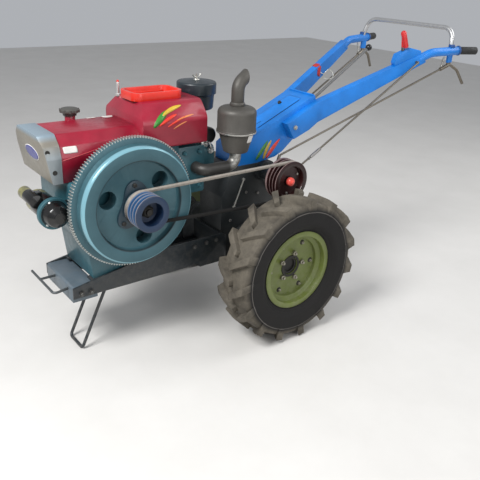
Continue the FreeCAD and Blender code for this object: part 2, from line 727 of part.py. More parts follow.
hopper = new_body("radiator_hopper")
slab(hopper, "YZ", "hopper_rear", "hood_split", (
    ("hood_middle + hood_half + hopper_grow", "hopper_bottom", "8"),
    ("hood_middle + hood_half + hopper_grow", "hopper_top - 60", "40"),
    ("hood_middle + hood_half - 40", "hopper_top", "40"),
    ("hood_middle - hood_half + 40", "hopper_top", "40"),
    ("hood_middle - hood_half - hopper_grow", "hopper_top - 60", "40"),
    ("hood_middle - hood_half - hopper_grow", "hopper_bottom", "8"),
))
slab(hopper, "XZ", "hood_middle - hood_half - 40", "hood_middle + hood_half + 40", (
    ("hood_split - 30", "hopper_top + 5"), ("hood_split + 5", "hood_top + 20"), ("hood_split + 5", "hopper_top + 5"),
), cut=True)

fuel = new_body("fuel_cap")
upright(fuel, (
    ("0", "hood_top + fuel_rise"), ("fuel_radius", "hood_top + fuel_rise"),
    ("fuel_radius", "hood_top + fuel_rise + 12"), ("fuel_radius - 8", "hood_top + fuel_rise + 22", "8"),
    ("0", "hood_top + fuel_rise + 26"),
), x="fuel_x", y="fuel_y")

filler = new_body("water_filler")
slab(filler, "XY", "hopper_top", "hopper_top + filler_high", (
    ("-filler_long / 2", "-filler_wide / 2", "34"), ("filler_long / 2", "-filler_wide / 2", "34"),
    ("filler_long / 2", "filler_wide / 2", "34"), ("-filler_long / 2", "filler_wide / 2", "34"),
))
slab(filler, "XY", "hopper_top + 8", "hopper_top + filler_high", (
    ("12 - filler_long / 2", "12 - filler_wide / 2", "26"), ("filler_long / 2 - 12", "12 - filler_wide / 2", "26"),
    ("filler_long / 2 - 12", "filler_wide / 2 - 12", "26"), ("12 - filler_long / 2", "filler_wide / 2 - 12", "26"),
), cut=True)
place(filler, "filler_x", "filler_y")

# Air cleaner, its intake elbow, the exhaust manifold, the muffler and its turned-back tail pipe.
cleaner = new_body("air_cleaner")
upright(cleaner, (
    ("0", "cleaner_bottom"), ("cleaner_radius - 12", "cleaner_bottom", "10"),
    ("cleaner_radius - 8", "cleaner_bottom + 62"), ("cleaner_radius", "cleaner_bottom + 66"),
    ("cleaner_radius", "cleaner_top - 8", "8"), ("0", "cleaner_top"),
), x="cleaner_x", y="cleaner_y")

intake = swept(bent_path((
    (spot("cleaner_x", "cleaner_y", "cleaner_bottom"), 0),
    (spot("cleaner_x", "cleaner_y", "cleaner_bottom - 55"), 30),
    (spot("(cleaner_x + intake_x) / 2 - 8", "intake_out", "intake_z + 20"), 40),
    (spot("intake_x", "intake_out", "intake_z"), 30),
    (spot("intake_x", "-head_half", "intake_z"), 0))), number("intake_radius"))
made("intake_elbow", intake)

manifold = swept(bent_path((
    (spot("head_rear + 44", "head_half", "port_z"), 0), (spot("head_rear + 44", "muffler_y", "port_z"), 30),
    (spot("muffler_x", "muffler_y", "port_z"), 40), (spot("muffler_x", "muffler_y", "muffler_bottom"), 0))),
    number("port_radius"))
made("exhaust_manifold", manifold)

can = new_body("muffler")
upright(can, (
    ("0", "muffler_bottom"), ("muffler_radius * 0.62", "muffler_bottom", "6"),
    ("muffler_radius - 8", "muffler_bottom + 84", "6"),
    ("muffler_radius", "muffler_bottom + 84"), ("muffler_radius", "muffler_bottom + 92"),
    ("muffler_radius - 2", "muffler_bottom + 92"),
    ("muffler_radius - 2", "muffler_top - 14", "24"), ("0", "muffler_top"),
), x="muffler_x", y="muffler_y")

up = spot("muffler_x", "muffler_y", "muffler_top - 6")
tail = swept(bent_path((
    (up, 0), (up + Vector(0, 0, 84), 46), (up + Vector(-52, -8, 118), 0))),
    number("pipe_radius"))
mouth_at = up + Vector(-52, -8, 118)
hollow = swept(bent_path((
    (up + Vector(0, 0, 20), 0), (up + Vector(0, 0, 84), 46), (up + Vector(-54, -8.3, 119.3), 0))),
    number("pipe_radius - pipe_wall"))
slice_box = Part.makeBox(90, 160, 160, mouth_at + Vector(-90, -80, -80))
slice_box.translate(Vector(12, 0, 0))
made("tail_pipe", tail.cut(hollow).cut(slice_box).cut(bar(up - Vector(0, 0, 60), up + Vector(0, 0, 6), 40)))

# Starter motor, across the front of the engine with its nose behind the ring, and its relay in front.
starter_x = "block_front + starter_flange"
starter = new_body("starter_motor")
turn(starter, (
    ("starter_right", "0"), ("starter_right", "starter_radius - 8"), ("starter_right + 14", "starter_radius"),
    ("70", "starter_radius"), ("74", "34"), ("96", "34"), ("96", "starter_flange"), ("108", "starter_flange"),
    ("112", "48"), ("starter_left - 18", "40", "14"), ("starter_left", "20"), ("starter_left", "0"),
))
slab(starter, "XZ", "96", "108", (
    ("-starter_flange", "-40"), ("-20", "-40"), ("-20", "40"), ("-starter_flange", "40")))
slab(starter, "XZ", "-52", "70", ("46", "40", "24"))
slab(starter, "XZ", "0", "30", (("10", "22"), ("60", "22"), ("60", "58"), ("10", "58")))
place(starter, starter_x, "0", "starter_z")

# Handle box: a folded sheet on the gearbox's top, its lid sloping up to the rear.
box = new_body("handle_box")
slab(box, "XZ", "-box_half", "box_half", (
    ("48", "case_top"), ("48", "case_top + 70"), ("-40", "800", "20"), ("-376", "948"), ("-384", "932"),
    ("-322", "805"), ("-200", "708"), ("-158", "case_top + 14"), ("-60", "case_top"),
))
slab(box, "XZ", "box_sheet - box_half", "box_half - box_sheet", (
    ("44", "case_top + box_sheet"), ("44", "case_top + 66"), ("-42", "795", "18"), ("-376", "943"),
    ("-390", "932"), ("-330", "800"), ("-210", "702"), ("-162", "case_top + box_sheet"),
), cut=True)


def arm(way):
    """One handlebar arm: a bolted front plate, a tapered box section to the bend, then round tube."""
    near, far = number("box_half"), number("box_half + arm_width")
    rear = number("arm_rear")
    front = Part.Face(Part.makePolygon([Vector(x, way * near, z) for x, z in (
        (-186, 842), (rear, 925), (rear, 832), (-322, 803), (-232, 770), (-186, 842))]))
    plate = front.extrude(Vector(0, way * (far - near), 0))
    root = Part.makePolygon([Vector(rear, way * y, z) for y, z in (
        (near, 832), (far, 832), (far, 925), (near, 925), (near, 832))])
    bend = spot("bend_x", f"{way} * bend_y", "bend_z")
    along = (bend - Vector(rear, way * (near + far) / 2, 878)).normalize()
    side_way = along.cross(Vector(0, 0, 1)).normalize() * way
    up_way = side_way.cross(along) * way
    at = bend - along * 50
    tip = Part.makePolygon([at + side_way * (-sx * 18) + up_way * (sz * 23)
                            for sx, sz in ((-1, -1), (1, -1), (1, 1), (-1, 1), (-1, -1))])
    box_arm = Part.makeLoft([root, tip], True, True)
    turn_in = spot("grip_x", f"{way} * grip_y", "grip_z")
    end = spot("grip_end_x + 6", f"{way} * (grip_end_y - 2)", "grip_z")
    core = swept(bent_path(((bend - along * 80, 0), (bend, 120), (turn_in, 80), (end, 0))),
                 number("tube_radius - 6"))
    sleeve = swept(bent_path(((bend - along * 80, 0), (bend, 120), (turn_in, 0))), number("tube_radius"))
    lug_at = spot("hoop_x - 8", f"{way} * (hoop_y - 4)", "grip_z")
    lug = Part.makeBox(34, 10, 50, Vector(lug_at.x - 17, lug_at.y - 5, lug_at.z - 56))
    return plate.fuse([box_arm, sleeve, core, lug]).removeSplitter()


arms = []
for side, way in SIDES:
    bare = arm(way)
    arms.append(bare)
    made("handle_arm_" + side, bare)
    grip_start = spot("grip_x - 6", f"{way} * (grip_y + 2.2)", "grip_z")
    grip_stop = spot("grip_end_x", f"{way} * grip_end_y", "grip_z")
    made("grip_" + side, bar(grip_start, grip_stop, number("grip_radius")).cut(bare))

made("hoop", swept(bent_path((
    (spot("hoop_x", "hoop_y", "grip_z + tube_radius / 2"), 0),
    (spot("hoop_x - hoop_lean", "hoop_y - 20", "hoop_top"), number("hoop_bend")),
    (spot("hoop_x - hoop_lean", "20 - hoop_y", "hoop_top"), number("hoop_bend")),
    (spot("hoop_x", "-hoop_y", "grip_z + tube_radius / 2"), 0))), number("hoop_radius")).cut(arms))

# Hand controls: a clutch quadrant on the left arm with its lever, a steering lever with its rod on
# each side, the clutch rod, and the gear lever that leans back through the handle box.
arm_foot = spot("arm_rear", "box_half + arm_width / 2", "878")
arm_line = spot("bend_x", "bend_y", "bend_z") - arm_foot
arm_run = arm_line.Length
arm_line.normalize()
arm_side = Vector(0, 0, 1).cross(arm_line).normalize()
arm_up = arm_line.cross(arm_side)


def on_arm(back, out, up):
    """A point beside the left arm: back from its bend, out to the left and up from its centre line."""
    return arm_foot + arm_line * (arm_run - back) - arm_side * out + arm_up * up


profile = Part.Face(Part.makePolygon([on_arm(back, -16, up) for back, up in (
    (210, 0), (210, 44), (186, 74), (112, 74), (62, 40), (62, 0), (210, 0))]))
quadrant = profile.extrude(on_arm(0, 16, 0) - on_arm(0, -16, 0)).cut(arms[0])
made("clutch_quadrant", quadrant)
knob_at = Vector(-762, 228, 1222)
lever = bar(on_arm(150, 0, 60), knob_at, 7, 9).cut(quadrant)
made("clutch_lever", lever.fuse(Part.makeSphere(12, knob_at)))

for side, way in SIDES:
    pivot = spot("hoop_x - 8", f"{way} * (hoop_y - 4)", "grip_z - 68")
    arm_end = Vector(-182, way * (number("case_half") + 12), 697)
    arm_root = Vector(-136, way * number("case_half"), 560)
    flat = Vector(0, way * 8, 0)
    reach = (arm_end - pivot).normalize()
    lever = swept(bent_path((
        (pivot + reach * 20, 0), (pivot - reach * 8, 24), (pivot + Vector(-62, way * 12, -26), 50),
        (pivot + Vector(-108, way * 26, -92), 0))), 7)
    rod = bar(pivot, arm_end, 4.5)
    clevis = bar(pivot + reach * 4, pivot + reach * 52, 9)
    relay_arm = bar(arm_root + flat, arm_end - flat / 2, 7)
    boss = bar(arm_root, arm_root + flat * 2, 15)
    pad = Part.makeBox(22, 10, 14, pivot + Vector(-11, -5, -2))
    made("steering_control_" + side, lever.fuse([rod, clevis, relay_arm, boss, pad]))

clutch_top = on_arm(100, 34, 0)
clutch_low = Vector(-222, 125, 604)
clutch_hub = spot("clutch_x", "125", "clutch_z")
rod = bar(clutch_top, clutch_low, 4.5).fuse(bar(clutch_top, on_arm(100, 0, 0), 6).cut(arms[0]))
crank_arm = bar(clutch_hub, clutch_low, 8).cut(
    bar(clutch_hub - Vector(0, 20, 0), clutch_hub + Vector(0, 20, 0), number("boss_radius")))
made("clutch_rod", rod.fuse(crank_arm))

ball_at = Vector(-799, 0, 1131)
root = spot("-106", "0", "case_top")
dome = bar(root, root + Vector(0, 0, 22), 15, 11)
stem_foot = root + Vector(0, 0, 14)
ball = Part.makeSphere(16, ball_at, ball_at - stem_foot)
made("gear_lever", dome.fuse([bar(stem_foot, ball_at, 7), ball]))

# Rear hitch: a casting with two ears and an upright pin hole, bolted to the foot of the gearbox.
hitch = new_body("rear_hitch")
slab(hitch, "XZ", "-hitch_half", "hitch_half", (
    ("-case_rear + 40", "hitch_z - hitch_high"), ("-case_rear + 40", "hitch_z + hitch_high"),
    ("-case_rear + 12", "hitch_z + hitch_high"), ("-case_rear + 12", "hitch_z + hitch_slot / 2 + hitch_ear"),
    ("hitch_x - 26", "hitch_z + hitch_slot / 2 + hitch_ear"), ("hitch_x - 26", "hitch_z + hitch_slot / 2"),
    ("-case_rear + 12", "hitch_z + hitch_slot / 2"), ("-case_rear + 12", "hitch_z - hitch_slot / 2"),
    ("hitch_x - 26", "hitch_z - hitch_slot / 2"), ("hitch_x - 26", "hitch_z - hitch_slot / 2 - hitch_ear"),
    ("-case_rear + 12", "hitch_z - hitch_slot / 2 - hitch_ear"), ("-case_rear + 12", "hitch_z - hitch_high"),
))
slab(hitch, "XY", "hitch_z - hitch_high", "hitch_z + hitch_high", ("hitch_x", "0", "hitch_bore"), cut=True)

# Refuse a document with a failed feature or an empty piece, then write each piece.
doc.recompute()
for thing in doc.Objects:
    if "Invalid" in thing.State or "Error" in thing.State:
        raise ValueError(thing.Label + " is not built: " + str(thing.State))
os.makedirs("parts", exist_ok=True)
for label, thing in SECTIONS.items():
    if thing.Shape.isNull() or not thing.Shape.isValid():
        raise ValueError(label + " has no valid shape")
    print(label, len(thing.Shape.Solids), round(thing.Shape.Volume / 1000, 1), thing.Shape.BoundBox)
    thing.Shape.exportStep(f"parts/{label}.step")
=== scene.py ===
import bmesh
import bpy
import math
from mathutils import Matrix, Quaternion, Vector
from mathutils.bvhtree import BVHTree


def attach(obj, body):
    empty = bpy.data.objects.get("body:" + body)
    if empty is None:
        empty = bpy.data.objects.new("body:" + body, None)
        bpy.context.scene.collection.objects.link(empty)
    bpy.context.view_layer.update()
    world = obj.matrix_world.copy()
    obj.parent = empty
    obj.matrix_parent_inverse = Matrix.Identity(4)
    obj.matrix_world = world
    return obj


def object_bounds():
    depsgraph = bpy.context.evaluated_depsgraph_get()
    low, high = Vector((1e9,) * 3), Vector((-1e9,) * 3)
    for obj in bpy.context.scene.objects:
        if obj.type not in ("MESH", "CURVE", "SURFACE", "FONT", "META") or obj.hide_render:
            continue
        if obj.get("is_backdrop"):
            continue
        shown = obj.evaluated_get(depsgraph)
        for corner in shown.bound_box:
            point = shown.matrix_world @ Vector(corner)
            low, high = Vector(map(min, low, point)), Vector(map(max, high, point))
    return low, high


# A walking tractor: the paint, rubber and metal of its solid parts, and the nuts, bolts, stripes,
# bare plates and small fittings on them. Metres. X forward, Y to the left, Z up.
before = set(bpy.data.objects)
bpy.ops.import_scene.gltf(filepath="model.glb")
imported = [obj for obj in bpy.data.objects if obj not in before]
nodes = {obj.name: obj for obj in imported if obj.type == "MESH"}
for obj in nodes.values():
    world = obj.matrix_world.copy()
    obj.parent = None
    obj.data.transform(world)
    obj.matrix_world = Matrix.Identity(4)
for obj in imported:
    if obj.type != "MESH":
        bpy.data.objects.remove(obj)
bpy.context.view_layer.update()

# Camera. It stands ahead and to the left of the machine, at head height, and looks down at it with
# a slight roll.
camera = bpy.data.objects.new("camera", bpy.data.cameras.new("camera"))
bpy.context.scene.collection.objects.link(camera)
camera_heading, camera_dip, camera_roll = math.radians(-128.71), math.radians(23.94), math.radians(2.9)
look = Vector((math.cos(camera_heading) * math.cos(camera_dip),
               math.sin(camera_heading) * math.cos(camera_dip), -math.sin(camera_dip)))
camera.location = (1.622, 2.087, 1.465)
camera.rotation_mode = "QUATERNION"
camera.rotation_quaternion = look.to_track_quat("-Z", "Y") @ Quaternion((0, 0, 1), camera_roll)
camera.data.sensor_width = 36
camera.data.lens = 45.9
camera.data.shift_y = -0.003
camera.data.clip_start = 0.05
bpy.context.scene.camera = camera
bpy.context.scene.view_settings.view_transform = "Standard"

# Light. A large soft key high ahead of the machine, a weak fill behind the camera, a soft lamp over
# the handlebars, all aimed at the middle of the machine, and a pale sky.
lamps_aim = Vector((0.1, 0, 0.5))
for lamp_name, place, watts, width in (
        ("key", (3.2, 0.9, 3.6), 235, 1.6),
        ("fill", (0.2, 4.2, 1.9), 55, 3.0),
        ("rear", (-3.0, 1.4, 3.0), 60, 2.4)):
    lamp = bpy.data.objects.new(lamp_name, bpy.data.lights.new(lamp_name, "AREA"))
    lamp.data.energy = watts
    lamp.data.size = width
    lamp.location = place
    lamp.rotation_mode = "QUATERNION"
    lamp.rotation_quaternion = (lamps_aim - Vector(place)).to_track_quat("-Z", "Y")
    bpy.context.scene.collection.objects.link(lamp)
sky = bpy.data.worlds.new("sky")
sky.use_nodes = True
sky_light = sky.node_tree.nodes["Background"].inputs
sky_light["Color"].default_value = (0.84, 0.87, 0.92, 1)
sky_light["Strength"].default_value = 0.5
bpy.context.scene.world = sky


# Floor of the studio: one pale, plain and matt sheet, with a very faint mottle and a fine grain. It
# takes the machine's shadow.
def feed(socket, value):
    """Sets a socket to a number or a colour, or links it to another node's socket."""
    if isinstance(value, tuple):
        socket.default_value = (*value, 1)
    elif isinstance(value, (int, float)):
        socket.default_value = value
    else:
        socket.id_data.links.new(value, socket)


def new_material(name):
    """A node material, its shader, and the place on the piece in metres."""
    material = bpy.data.materials.new(name)
    material.use_nodes = True
    nodes_of = material.node_tree.nodes
    return material, nodes_of["Principled BSDF"], nodes_of.new("ShaderNodeTexCoord").outputs["Object"]


def noise(where, scale, detail=4.0, rough=0.6):
    """Cloudy noise from 0 to 1."""
    node = where.id_data.nodes.new("ShaderNodeTexNoise")
    for socket, value in (("Vector", where), ("Scale", scale), ("Detail", detail), ("Roughness", rough)):
        feed(node.inputs[socket], value)
    return node.outputs["Fac"]


def spread(value, low, high, start, stop):
    """Maps low..high to start..stop, and holds it at both ends."""
    node = value.id_data.nodes.new("ShaderNodeMapRange")
    for socket, number in (("Value", value), ("From Min", low), ("From Max", high),
                           ("To Min", start), ("To Max", stop)):
        feed(node.inputs[socket], number)
    return node.outputs["Result"]


def mixed(amount, first, second):
    """Goes from the first colour to the second as the amount goes from 0 to 1."""
    node = amount.id_data.nodes.new("ShaderNodeMix")
    node.data_type = "RGBA"
    feed(node.inputs["Factor"], amount)
    for socket, colour in zip([s for s in node.inputs if s.type == "RGBA"], (first, second)):
        feed(socket, colour)
    return [s for s in node.outputs if s.type == "RGBA"][0]


def sums(operation, first, second=0.0):
    """One sum on a socket and a second value, which is a socket or a number."""
    node = first.id_data.nodes.new("ShaderNodeMath")
    node.operation = operation
    feed(node.inputs[0], first)
    feed(node.inputs[1], second)
    return node.outputs["Value"]


def set_looks(shader, looks):
    """Gives the shader's sockets their numbers or patterns."""
    for socket, value in looks.items():
        feed(shader.inputs[socket], value)


def add_bump(shader, height, strength, distance):
    """Lets a pattern raise and dent the surface."""
    node = shader.id_data.nodes.new("ShaderNodeBump")
    for socket, value in (("Height", height), ("Strength", strength), ("Distance", distance)):
        feed(node.inputs[socket], value)
    feed(shader.inputs["Normal"], node.outputs["Normal"])


floor_finish, shader, where = new_material("floor")
mottle = spread(noise(where, 3.0, 6.0), 0.3, 0.7, 0.0, 1.0)
set_looks(shader, {"Base Color": mixed(mottle, (0.60, 0.585, 0.56), (0.64, 0.625, 0.60)),
                   "Roughness": 0.8})
add_bump(shader, noise(where, 120.0, 4.0), 0.15, 0.001)
shape = bmesh.new()
bmesh.ops.create_grid(shape, x_segments=2, y_segments=2, size=9.0)
mesh = bpy.data.meshes.new("floor")
shape.to_mesh(mesh)
shape.free()
mesh.materials.append(floor_finish)
floor = bpy.data.objects.new("floor", mesh)
bpy.context.scene.collection.objects.link(floor)
floor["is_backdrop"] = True


# Tyres: moulded black rubber. The lugs and the tread between them carry dry earth, the sidewalls
# are clean and dark, and a pale moulded line runs round the shoulder.
def measured(where, axis):
    """How far along X, Y or Z the place on the piece lies."""
    split = where.id_data.nodes.new("ShaderNodeSeparateXYZ")
    feed(split.inputs["Vector"], where)
    return split.outputs[axis]


def from_centre(where, middle):
    """Distance from a line across the machine, given by its place along X and its height."""
    along = sums("SUBTRACT", measured(where, "X"), middle[0])
    up = sums("SUBTRACT", measured(where, "Z"), middle[1])
    return sums("SQRT", sums("ADD", sums("MULTIPLY", along, along), sums("MULTIPLY", up, up)))


def band(value, rise_from, rise_to, fall_from, fall_to):
    """1 between two soft edges, and 0 outside them."""
    return sums("MULTIPLY", spread(value, rise_from, rise_to, 0.0, 1.0),
                spread(value, fall_from, fall_to, 1.0, 0.0))


weld_gap = 0.00002


def dress(label, material, edge=0.0012):
    """Gives a solid part its finish, softened edges and smooth shading over its curves."""
    part = nodes[label]
    part.data.materials.clear()
    part.data.materials.append(material)
    for face in part.data.polygons:
        face.use_smooth = True
    weld = part.modifiers.new("weld", "WELD")
    weld.merge_threshold = weld_gap
    bevel = part.modifiers.new("edges", "BEVEL")
    bevel.width = edge
    bevel.segments = 2
    bevel.limit_method = "ANGLE"
    bevel.angle_limit = math.radians(32)
    bevel.harden_normals = True


axle_height = 0.32
sidewall_rib_pitch = 0.0055
clean_rubber, dry_earth, pale_line = (0.007, 0.0065, 0.0065), (0.135, 0.118, 0.092), (0.12, 0.11, 0.10)
tyre_rubber, shader, where = new_material("tyre_rubber")
radius = from_centre(where, (0.0, axle_height))
earth = spread(noise(where, 17.0, 7.0, 0.7), 0.30, 0.70, 0.35, 1.0)
tread = spread(radius, 0.266, 0.284, 0.02, 1.0)
worn = mixed(sums("MULTIPLY", earth, tread), clean_rubber, dry_earth)
line = band(radius, 0.2585, 0.2600, 0.2620, 0.2635)
set_looks(shader, {"Base Color": mixed(sums("MULTIPLY", line, 0.75), worn, pale_line),
                   "Roughness": 0.74, "Specular IOR Level": 0.28})
ribs = sums("MULTIPLY", spread(sums("PINGPONG", radius, sidewall_rib_pitch), 0.001, 0.0035, 0.0, 1.0),
            spread(radius, 0.196, 0.200, 1.0, 0.0))
grain = sums("MULTIPLY", noise(where, 190.0, 4.0), 0.35)
add_bump(shader, sums("ADD", sums("ADD", ribs, grain), line), 0.55, 0.0012)
dress("tyre_left", tyre_rubber)
dress("tyre_right", tyre_rubber)


# Rims: pressed steel in olive green, with earth in the well. Five nuts hold each disc on its hub, and
# six smaller bolts stand on a wider circle, each on a dark washer that is painted shade for its hole. A
# dark ring of painted shade for the hub's recess stands round the bore.
def painted(name, colour, rough=0.38, metal=0.0, gloss=0.0, grain=220.0, bump=0.12, dust=0.25):
    """Paint on metal: faint patches, orange peel or casting grain, and dust that lies low down."""
    material, shader, where = new_material(name)
    patches = spread(noise(where, 9.0), 0.3, 0.7, 0.0, 1.0)
    varied = mixed(patches, tuple(0.80 * c for c in colour), tuple(1.12 * c + 0.002 for c in colour))
    low_down = spread(measured(where, "Z"), 0.0, 0.55, dust, 0.04 * dust)
    speckle = spread(noise(where, 38.0, 6.0, 0.7), 0.45, 0.72, 0.0, 1.0)
    set_looks(shader, {
        "Base Color": mixed(sums("MULTIPLY", low_down, speckle), varied, (0.26, 0.235, 0.195)),
        "Roughness": spread(speckle, 0.0, 1.0, rough, min(0.95, rough + 0.16)),
        "Metallic": metal, "Coat Weight": gloss, "Coat Roughness": 0.16})
    add_bump(shader, noise(where, grain, 3.0, 0.5), bump, 0.0006)
    return material


def bright(name, colour, rough=0.32, stain=(0.10, 0.07, 0.05), stained=0.25, brushed=0.05):
    """Bare or plated metal, finely brushed, with a little brown staining."""
    material, shader, where = new_material(name)
    blotch = spread(noise(where, 26.0, 6.0, 0.7), 0.52, 0.78, 0.0, stained)
    set_looks(shader, {
        "Base Color": mixed(blotch, colour, stain), "Metallic": 0.85,
        "Roughness": spread(noise(where, 40.0, 2.0), 0.3, 0.7, rough - 0.04, rough + 0.12)})
    add_bump(shader, noise(where, 150.0, 2.0), brushed, 0.0002)
    return material


def add_piece(name, shape, material, body="chassis", sheet=0.0):
    """Closes a shape, turns it outwards, gives it its finish, and lets it ride on one body."""
    bmesh.ops.remove_doubles(shape, verts=shape.verts, dist=weld_gap)
    bmesh.ops.recalc_face_normals(shape, faces=shape.faces)
    mesh = bpy.data.meshes.new(name)
    shape.to_mesh(mesh)
    shape.free()
    mesh.materials.append(material)
    for face in mesh.polygons:
        face.use_smooth = True
    mesh.set_sharp_from_angle(angle=math.radians(34))
    piece = bpy.data.objects.new(name, mesh)
    bpy.context.scene.collection.objects.link(piece)
    if sheet:
        wall = piece.modifiers.new("thickness", "SOLIDIFY")
        wall.thickness = sheet
        wall.offset = 0
    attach(piece, body)


def turned(shape, outline, centre, axis, steps=32):
    """Turns an outline of (along, radius) pairs round an axis, as on a lathe."""
    along = Vector(axis).normalized()
    across = along.orthogonal().normalized()
    points = [shape.verts.new(Vector(centre) + along * a + across * r) for a, r in outline]
    lines = [shape.edges.new(pair) for pair in zip(points, points[1:])]
    bmesh.ops.spin(shape, geom=points + lines, cent=centre, axis=along, angle=2 * math.pi,
                   steps=steps, use_merge=True)


def hex_nut(shape, centre, axis, across, high, stud=0.0):
    """A nut or a bolt head with softened top corners, and its stud's end where it has one."""
    along = Vector(axis).normalized()
    place = Matrix.Translation(centre) @ along.to_track_quat("Z", "Y").to_matrix().to_4x4()
    corner = across / 1.732
    made = bmesh.ops.create_cone(shape, cap_ends=True, segments=6, radius1=corner, radius2=corner,
                                 depth=high, matrix=place @ Matrix.Translation((0, 0, high / 2)))["verts"]
    top = {point for point in made if (point.co - Vector(centre)).dot(along) > high / 2}
    rim = {edge for point in top for edge in point.link_edges if set(edge.verts) <= top}
    bmesh.ops.bevel(shape, geom=list(rim), offset=0.12 * across, affect="EDGES", segments=1,
                    profile=0.5, material=-1)
    if stud:
        r = 0.29 * across
        turned(shape, [(high * 0.5, 0), (high * 0.5, r), (high + stud - 0.001, r),
                       (high + stud, r - 0.001), (high + stud, 0)], centre, axis, 14)


def around(centre, count, reach, start=0.0, rise=None):
    """Even places on a circle, or on an oval of that rise, seen from the machine's side."""
    turns = [math.radians(start + 360 / count * k) for k in range(count)]
    return [(centre[0] + reach * math.cos(turn), centre[1], centre[2] + (rise or reach) * math.sin(turn))
            for turn in turns]


hub_face = 0.412
nut_circle, bolt_circle = 0.060, 0.112
# The dark ring round the bore and the dark washers under the six bolts are painted shade for the hub's
# recess and the bolt holes.
bore_shade_outline = [(0, 0.0385), (0.0025, 0.040), (0.0030, 0.048), (0, 0.050), (0, 0.0385)]
hole_shade_outline = [(0, 0), (0, 0.0115), (0.0008, 0.0110), (0.0018, 0.0095), (0.0018, 0)]
rim_paint = painted("rim_paint", (0.112, 0.142, 0.026), rough=0.42, gloss=0.12, dust=0.4)
nut_iron = bright("nut_iron", (0.32, 0.30, 0.25), rough=0.42, stain=(0.07, 0.045, 0.02), stained=0.5)
# Dark iron for the axle ends, nuts and bolts, also used for the dark rings and discs of painted shade at
# the hub, the wheel bolts and the hood cap's flank holes.
dark_iron_and_shade = painted("dark_iron_and_shade", (0.020, 0.019, 0.017), rough=0.55, metal=0.3, grain=160, bump=0.35,
                   dust=0.15)
for side, out in (("left", 1), ("right", -1)):
    dress("rim_" + side, rim_paint)
    dress("half_axle_" + side, dark_iron_and_shade)
    outward = (0, out, 0)
    hub_middle = (0, out * hub_face, axle_height)
    hole_shade_tops = (0, out * hub_face + out * 0.0015, axle_height)
    shape = bmesh.new()
    for spot in around(hub_middle, 5, nut_circle, start=30):
        hex_nut(shape, spot, outward, across=0.019, high=0.013, stud=0.007)
    for spot in around(hole_shade_tops, 6, bolt_circle):
        hex_nut(shape, spot, outward, across=0.0115, high=0.007, stud=0.004)
    add_piece("wheel_nuts_" + side, shape, nut_iron, "wheel_" + side)
    shape = bmesh.new()
    turned(shape, bore_shade_outline, hub_middle, outward, 48)
    for spot in around(hub_middle, 6, bolt_circle):
        turned(shape, hole_shade_outline, spot, outward, 20)
    add_piece("hub_shade_rings_" + side, shape, dark_iron_and_shade, "wheel_" + side)

# Frame: two painted channel rails, a flat front beam, the gearbox's bracket, the folding stand on its
# pin, and the wire hoop of the bumper. Bolts with washers tie beam, rails and bracket together, and
# four more on each rail hold the engine's feet.
frame_paint = painted("frame_paint", (0.013, 0.018, 0.022), rough=0.40, gloss=0.15, dust=0.3)
beam_paint = painted("beam_paint", (0.085, 0.115, 0.140), rough=0.42, gloss=0.1, dust=0.3)
wire_paint = painted("wire_paint", (0.07, 0.078, 0.082), rough=0.45, metal=0.3)
steel = bright("steel", (0.26, 0.25, 0.24))
zinc = bright("zinc", (0.50, 0.49, 0.45), rough=0.3, stained=0.2)
for label in ("frame_rail_left", "frame_rail_right", "gearbox_bracket", "stand"):
    dress(label, frame_paint)
dress("front_beam", beam_paint)
dress("front_bumper", wire_paint)
dress("stand_pin", steel)
rail_face, feet_y, feet_top = 0.133, 0.113, 0.3605
beam_bolts = ((0.812, 0.299), (0.772, 0.296))
bracket_bolts = ((0.30, 0.372), (0.24, 0.378), (0.19, 0.380))
feet_x = (0.470, 0.500, 0.715, 0.745)
upward = (0, 0, 1)
shape = bmesh.new()
for out in (1, -1):
    for x, z in beam_bolts + bracket_bolts:
        turned(shape, [(0, 0), (0, 0.0105), (0.0018, 0.0105), (0.0018, 0)],
               (x, out * rail_face, z), (0, out, 0), 20)
        hex_nut(shape, (x, out * 0.1345, z), (0, out, 0), across=0.014, high=0.008, stud=0.003)
    for x in feet_x:
        hex_nut(shape, (x, out * feet_y, feet_top), upward, across=0.015, high=0.009, stud=0.006)
add_piece("frame_bolts", shape, bright("frame_bolt_iron", (0.11, 0.11, 0.105), rough=0.45, stained=0.4))


# Gearbox: a dark painted casting with its axle housings and the hitch at its rear. Steel cap screws
# stand in an oval on both of its sides.
def skin_of(label):
    """The surface of a solid part, for laying thin things on it."""
    data = nodes[label].data
    return BVHTree.FromPolygons([v.co for v in data.vertices], [p.vertices for p in data.polygons])


def on_skin(skin, point, towards, lift=0.0):
    """Where a line from beside the part first meets its skin, and the way that the skin faces there."""
    way = Vector(towards).normalized()
    spot, faces, _, _ = skin.ray_cast(Vector(point) - way * 0.4, way)
    if spot is None:
        return None, None
    return spot - way * lift, (faces if faces.dot(way) < 0 else -faces)


def screws(name, label, towards, places, material, across, high, stud=0.0):
    """Nuts or bolt heads that stand on a solid part's skin, wherever the skin faces them squarely."""
    skin = skin_of(label)
    shape = bmesh.new()
    for place in places:
        spot, faces = on_skin(skin, place, towards)
        if spot is not None and faces.dot(Vector(towards).normalized()) < -0.9:
            hex_nut(shape, spot - faces * 0.0005, faces, across, high, stud)
    add_piece(name, shape, material)


case_paint = painted("case_paint", (0.018, 0.022, 0.024), rough=0.48, grain=140, bump=0.45)
for label in ("gearbox", "axle_housing_left", "axle_housing_right", "rear_hitch"):
    dress(label, case_paint)
from_left, from_right, from_behind = (0, -1, 0), (0, 1, 0), (1, 0, 0)
screws("gearbox_screws", "gearbox", from_left, around((-0.02, 0.3, 0.43), 9, 0.10, rise=0.12),
       steel, across=0.012, high=0.007)
screws("gearbox_screws_right", "gearbox", from_right, around((-0.02, -0.3, 0.43), 9, 0.10, rise=0.12),
       steel, across=0.012, high=0.007)

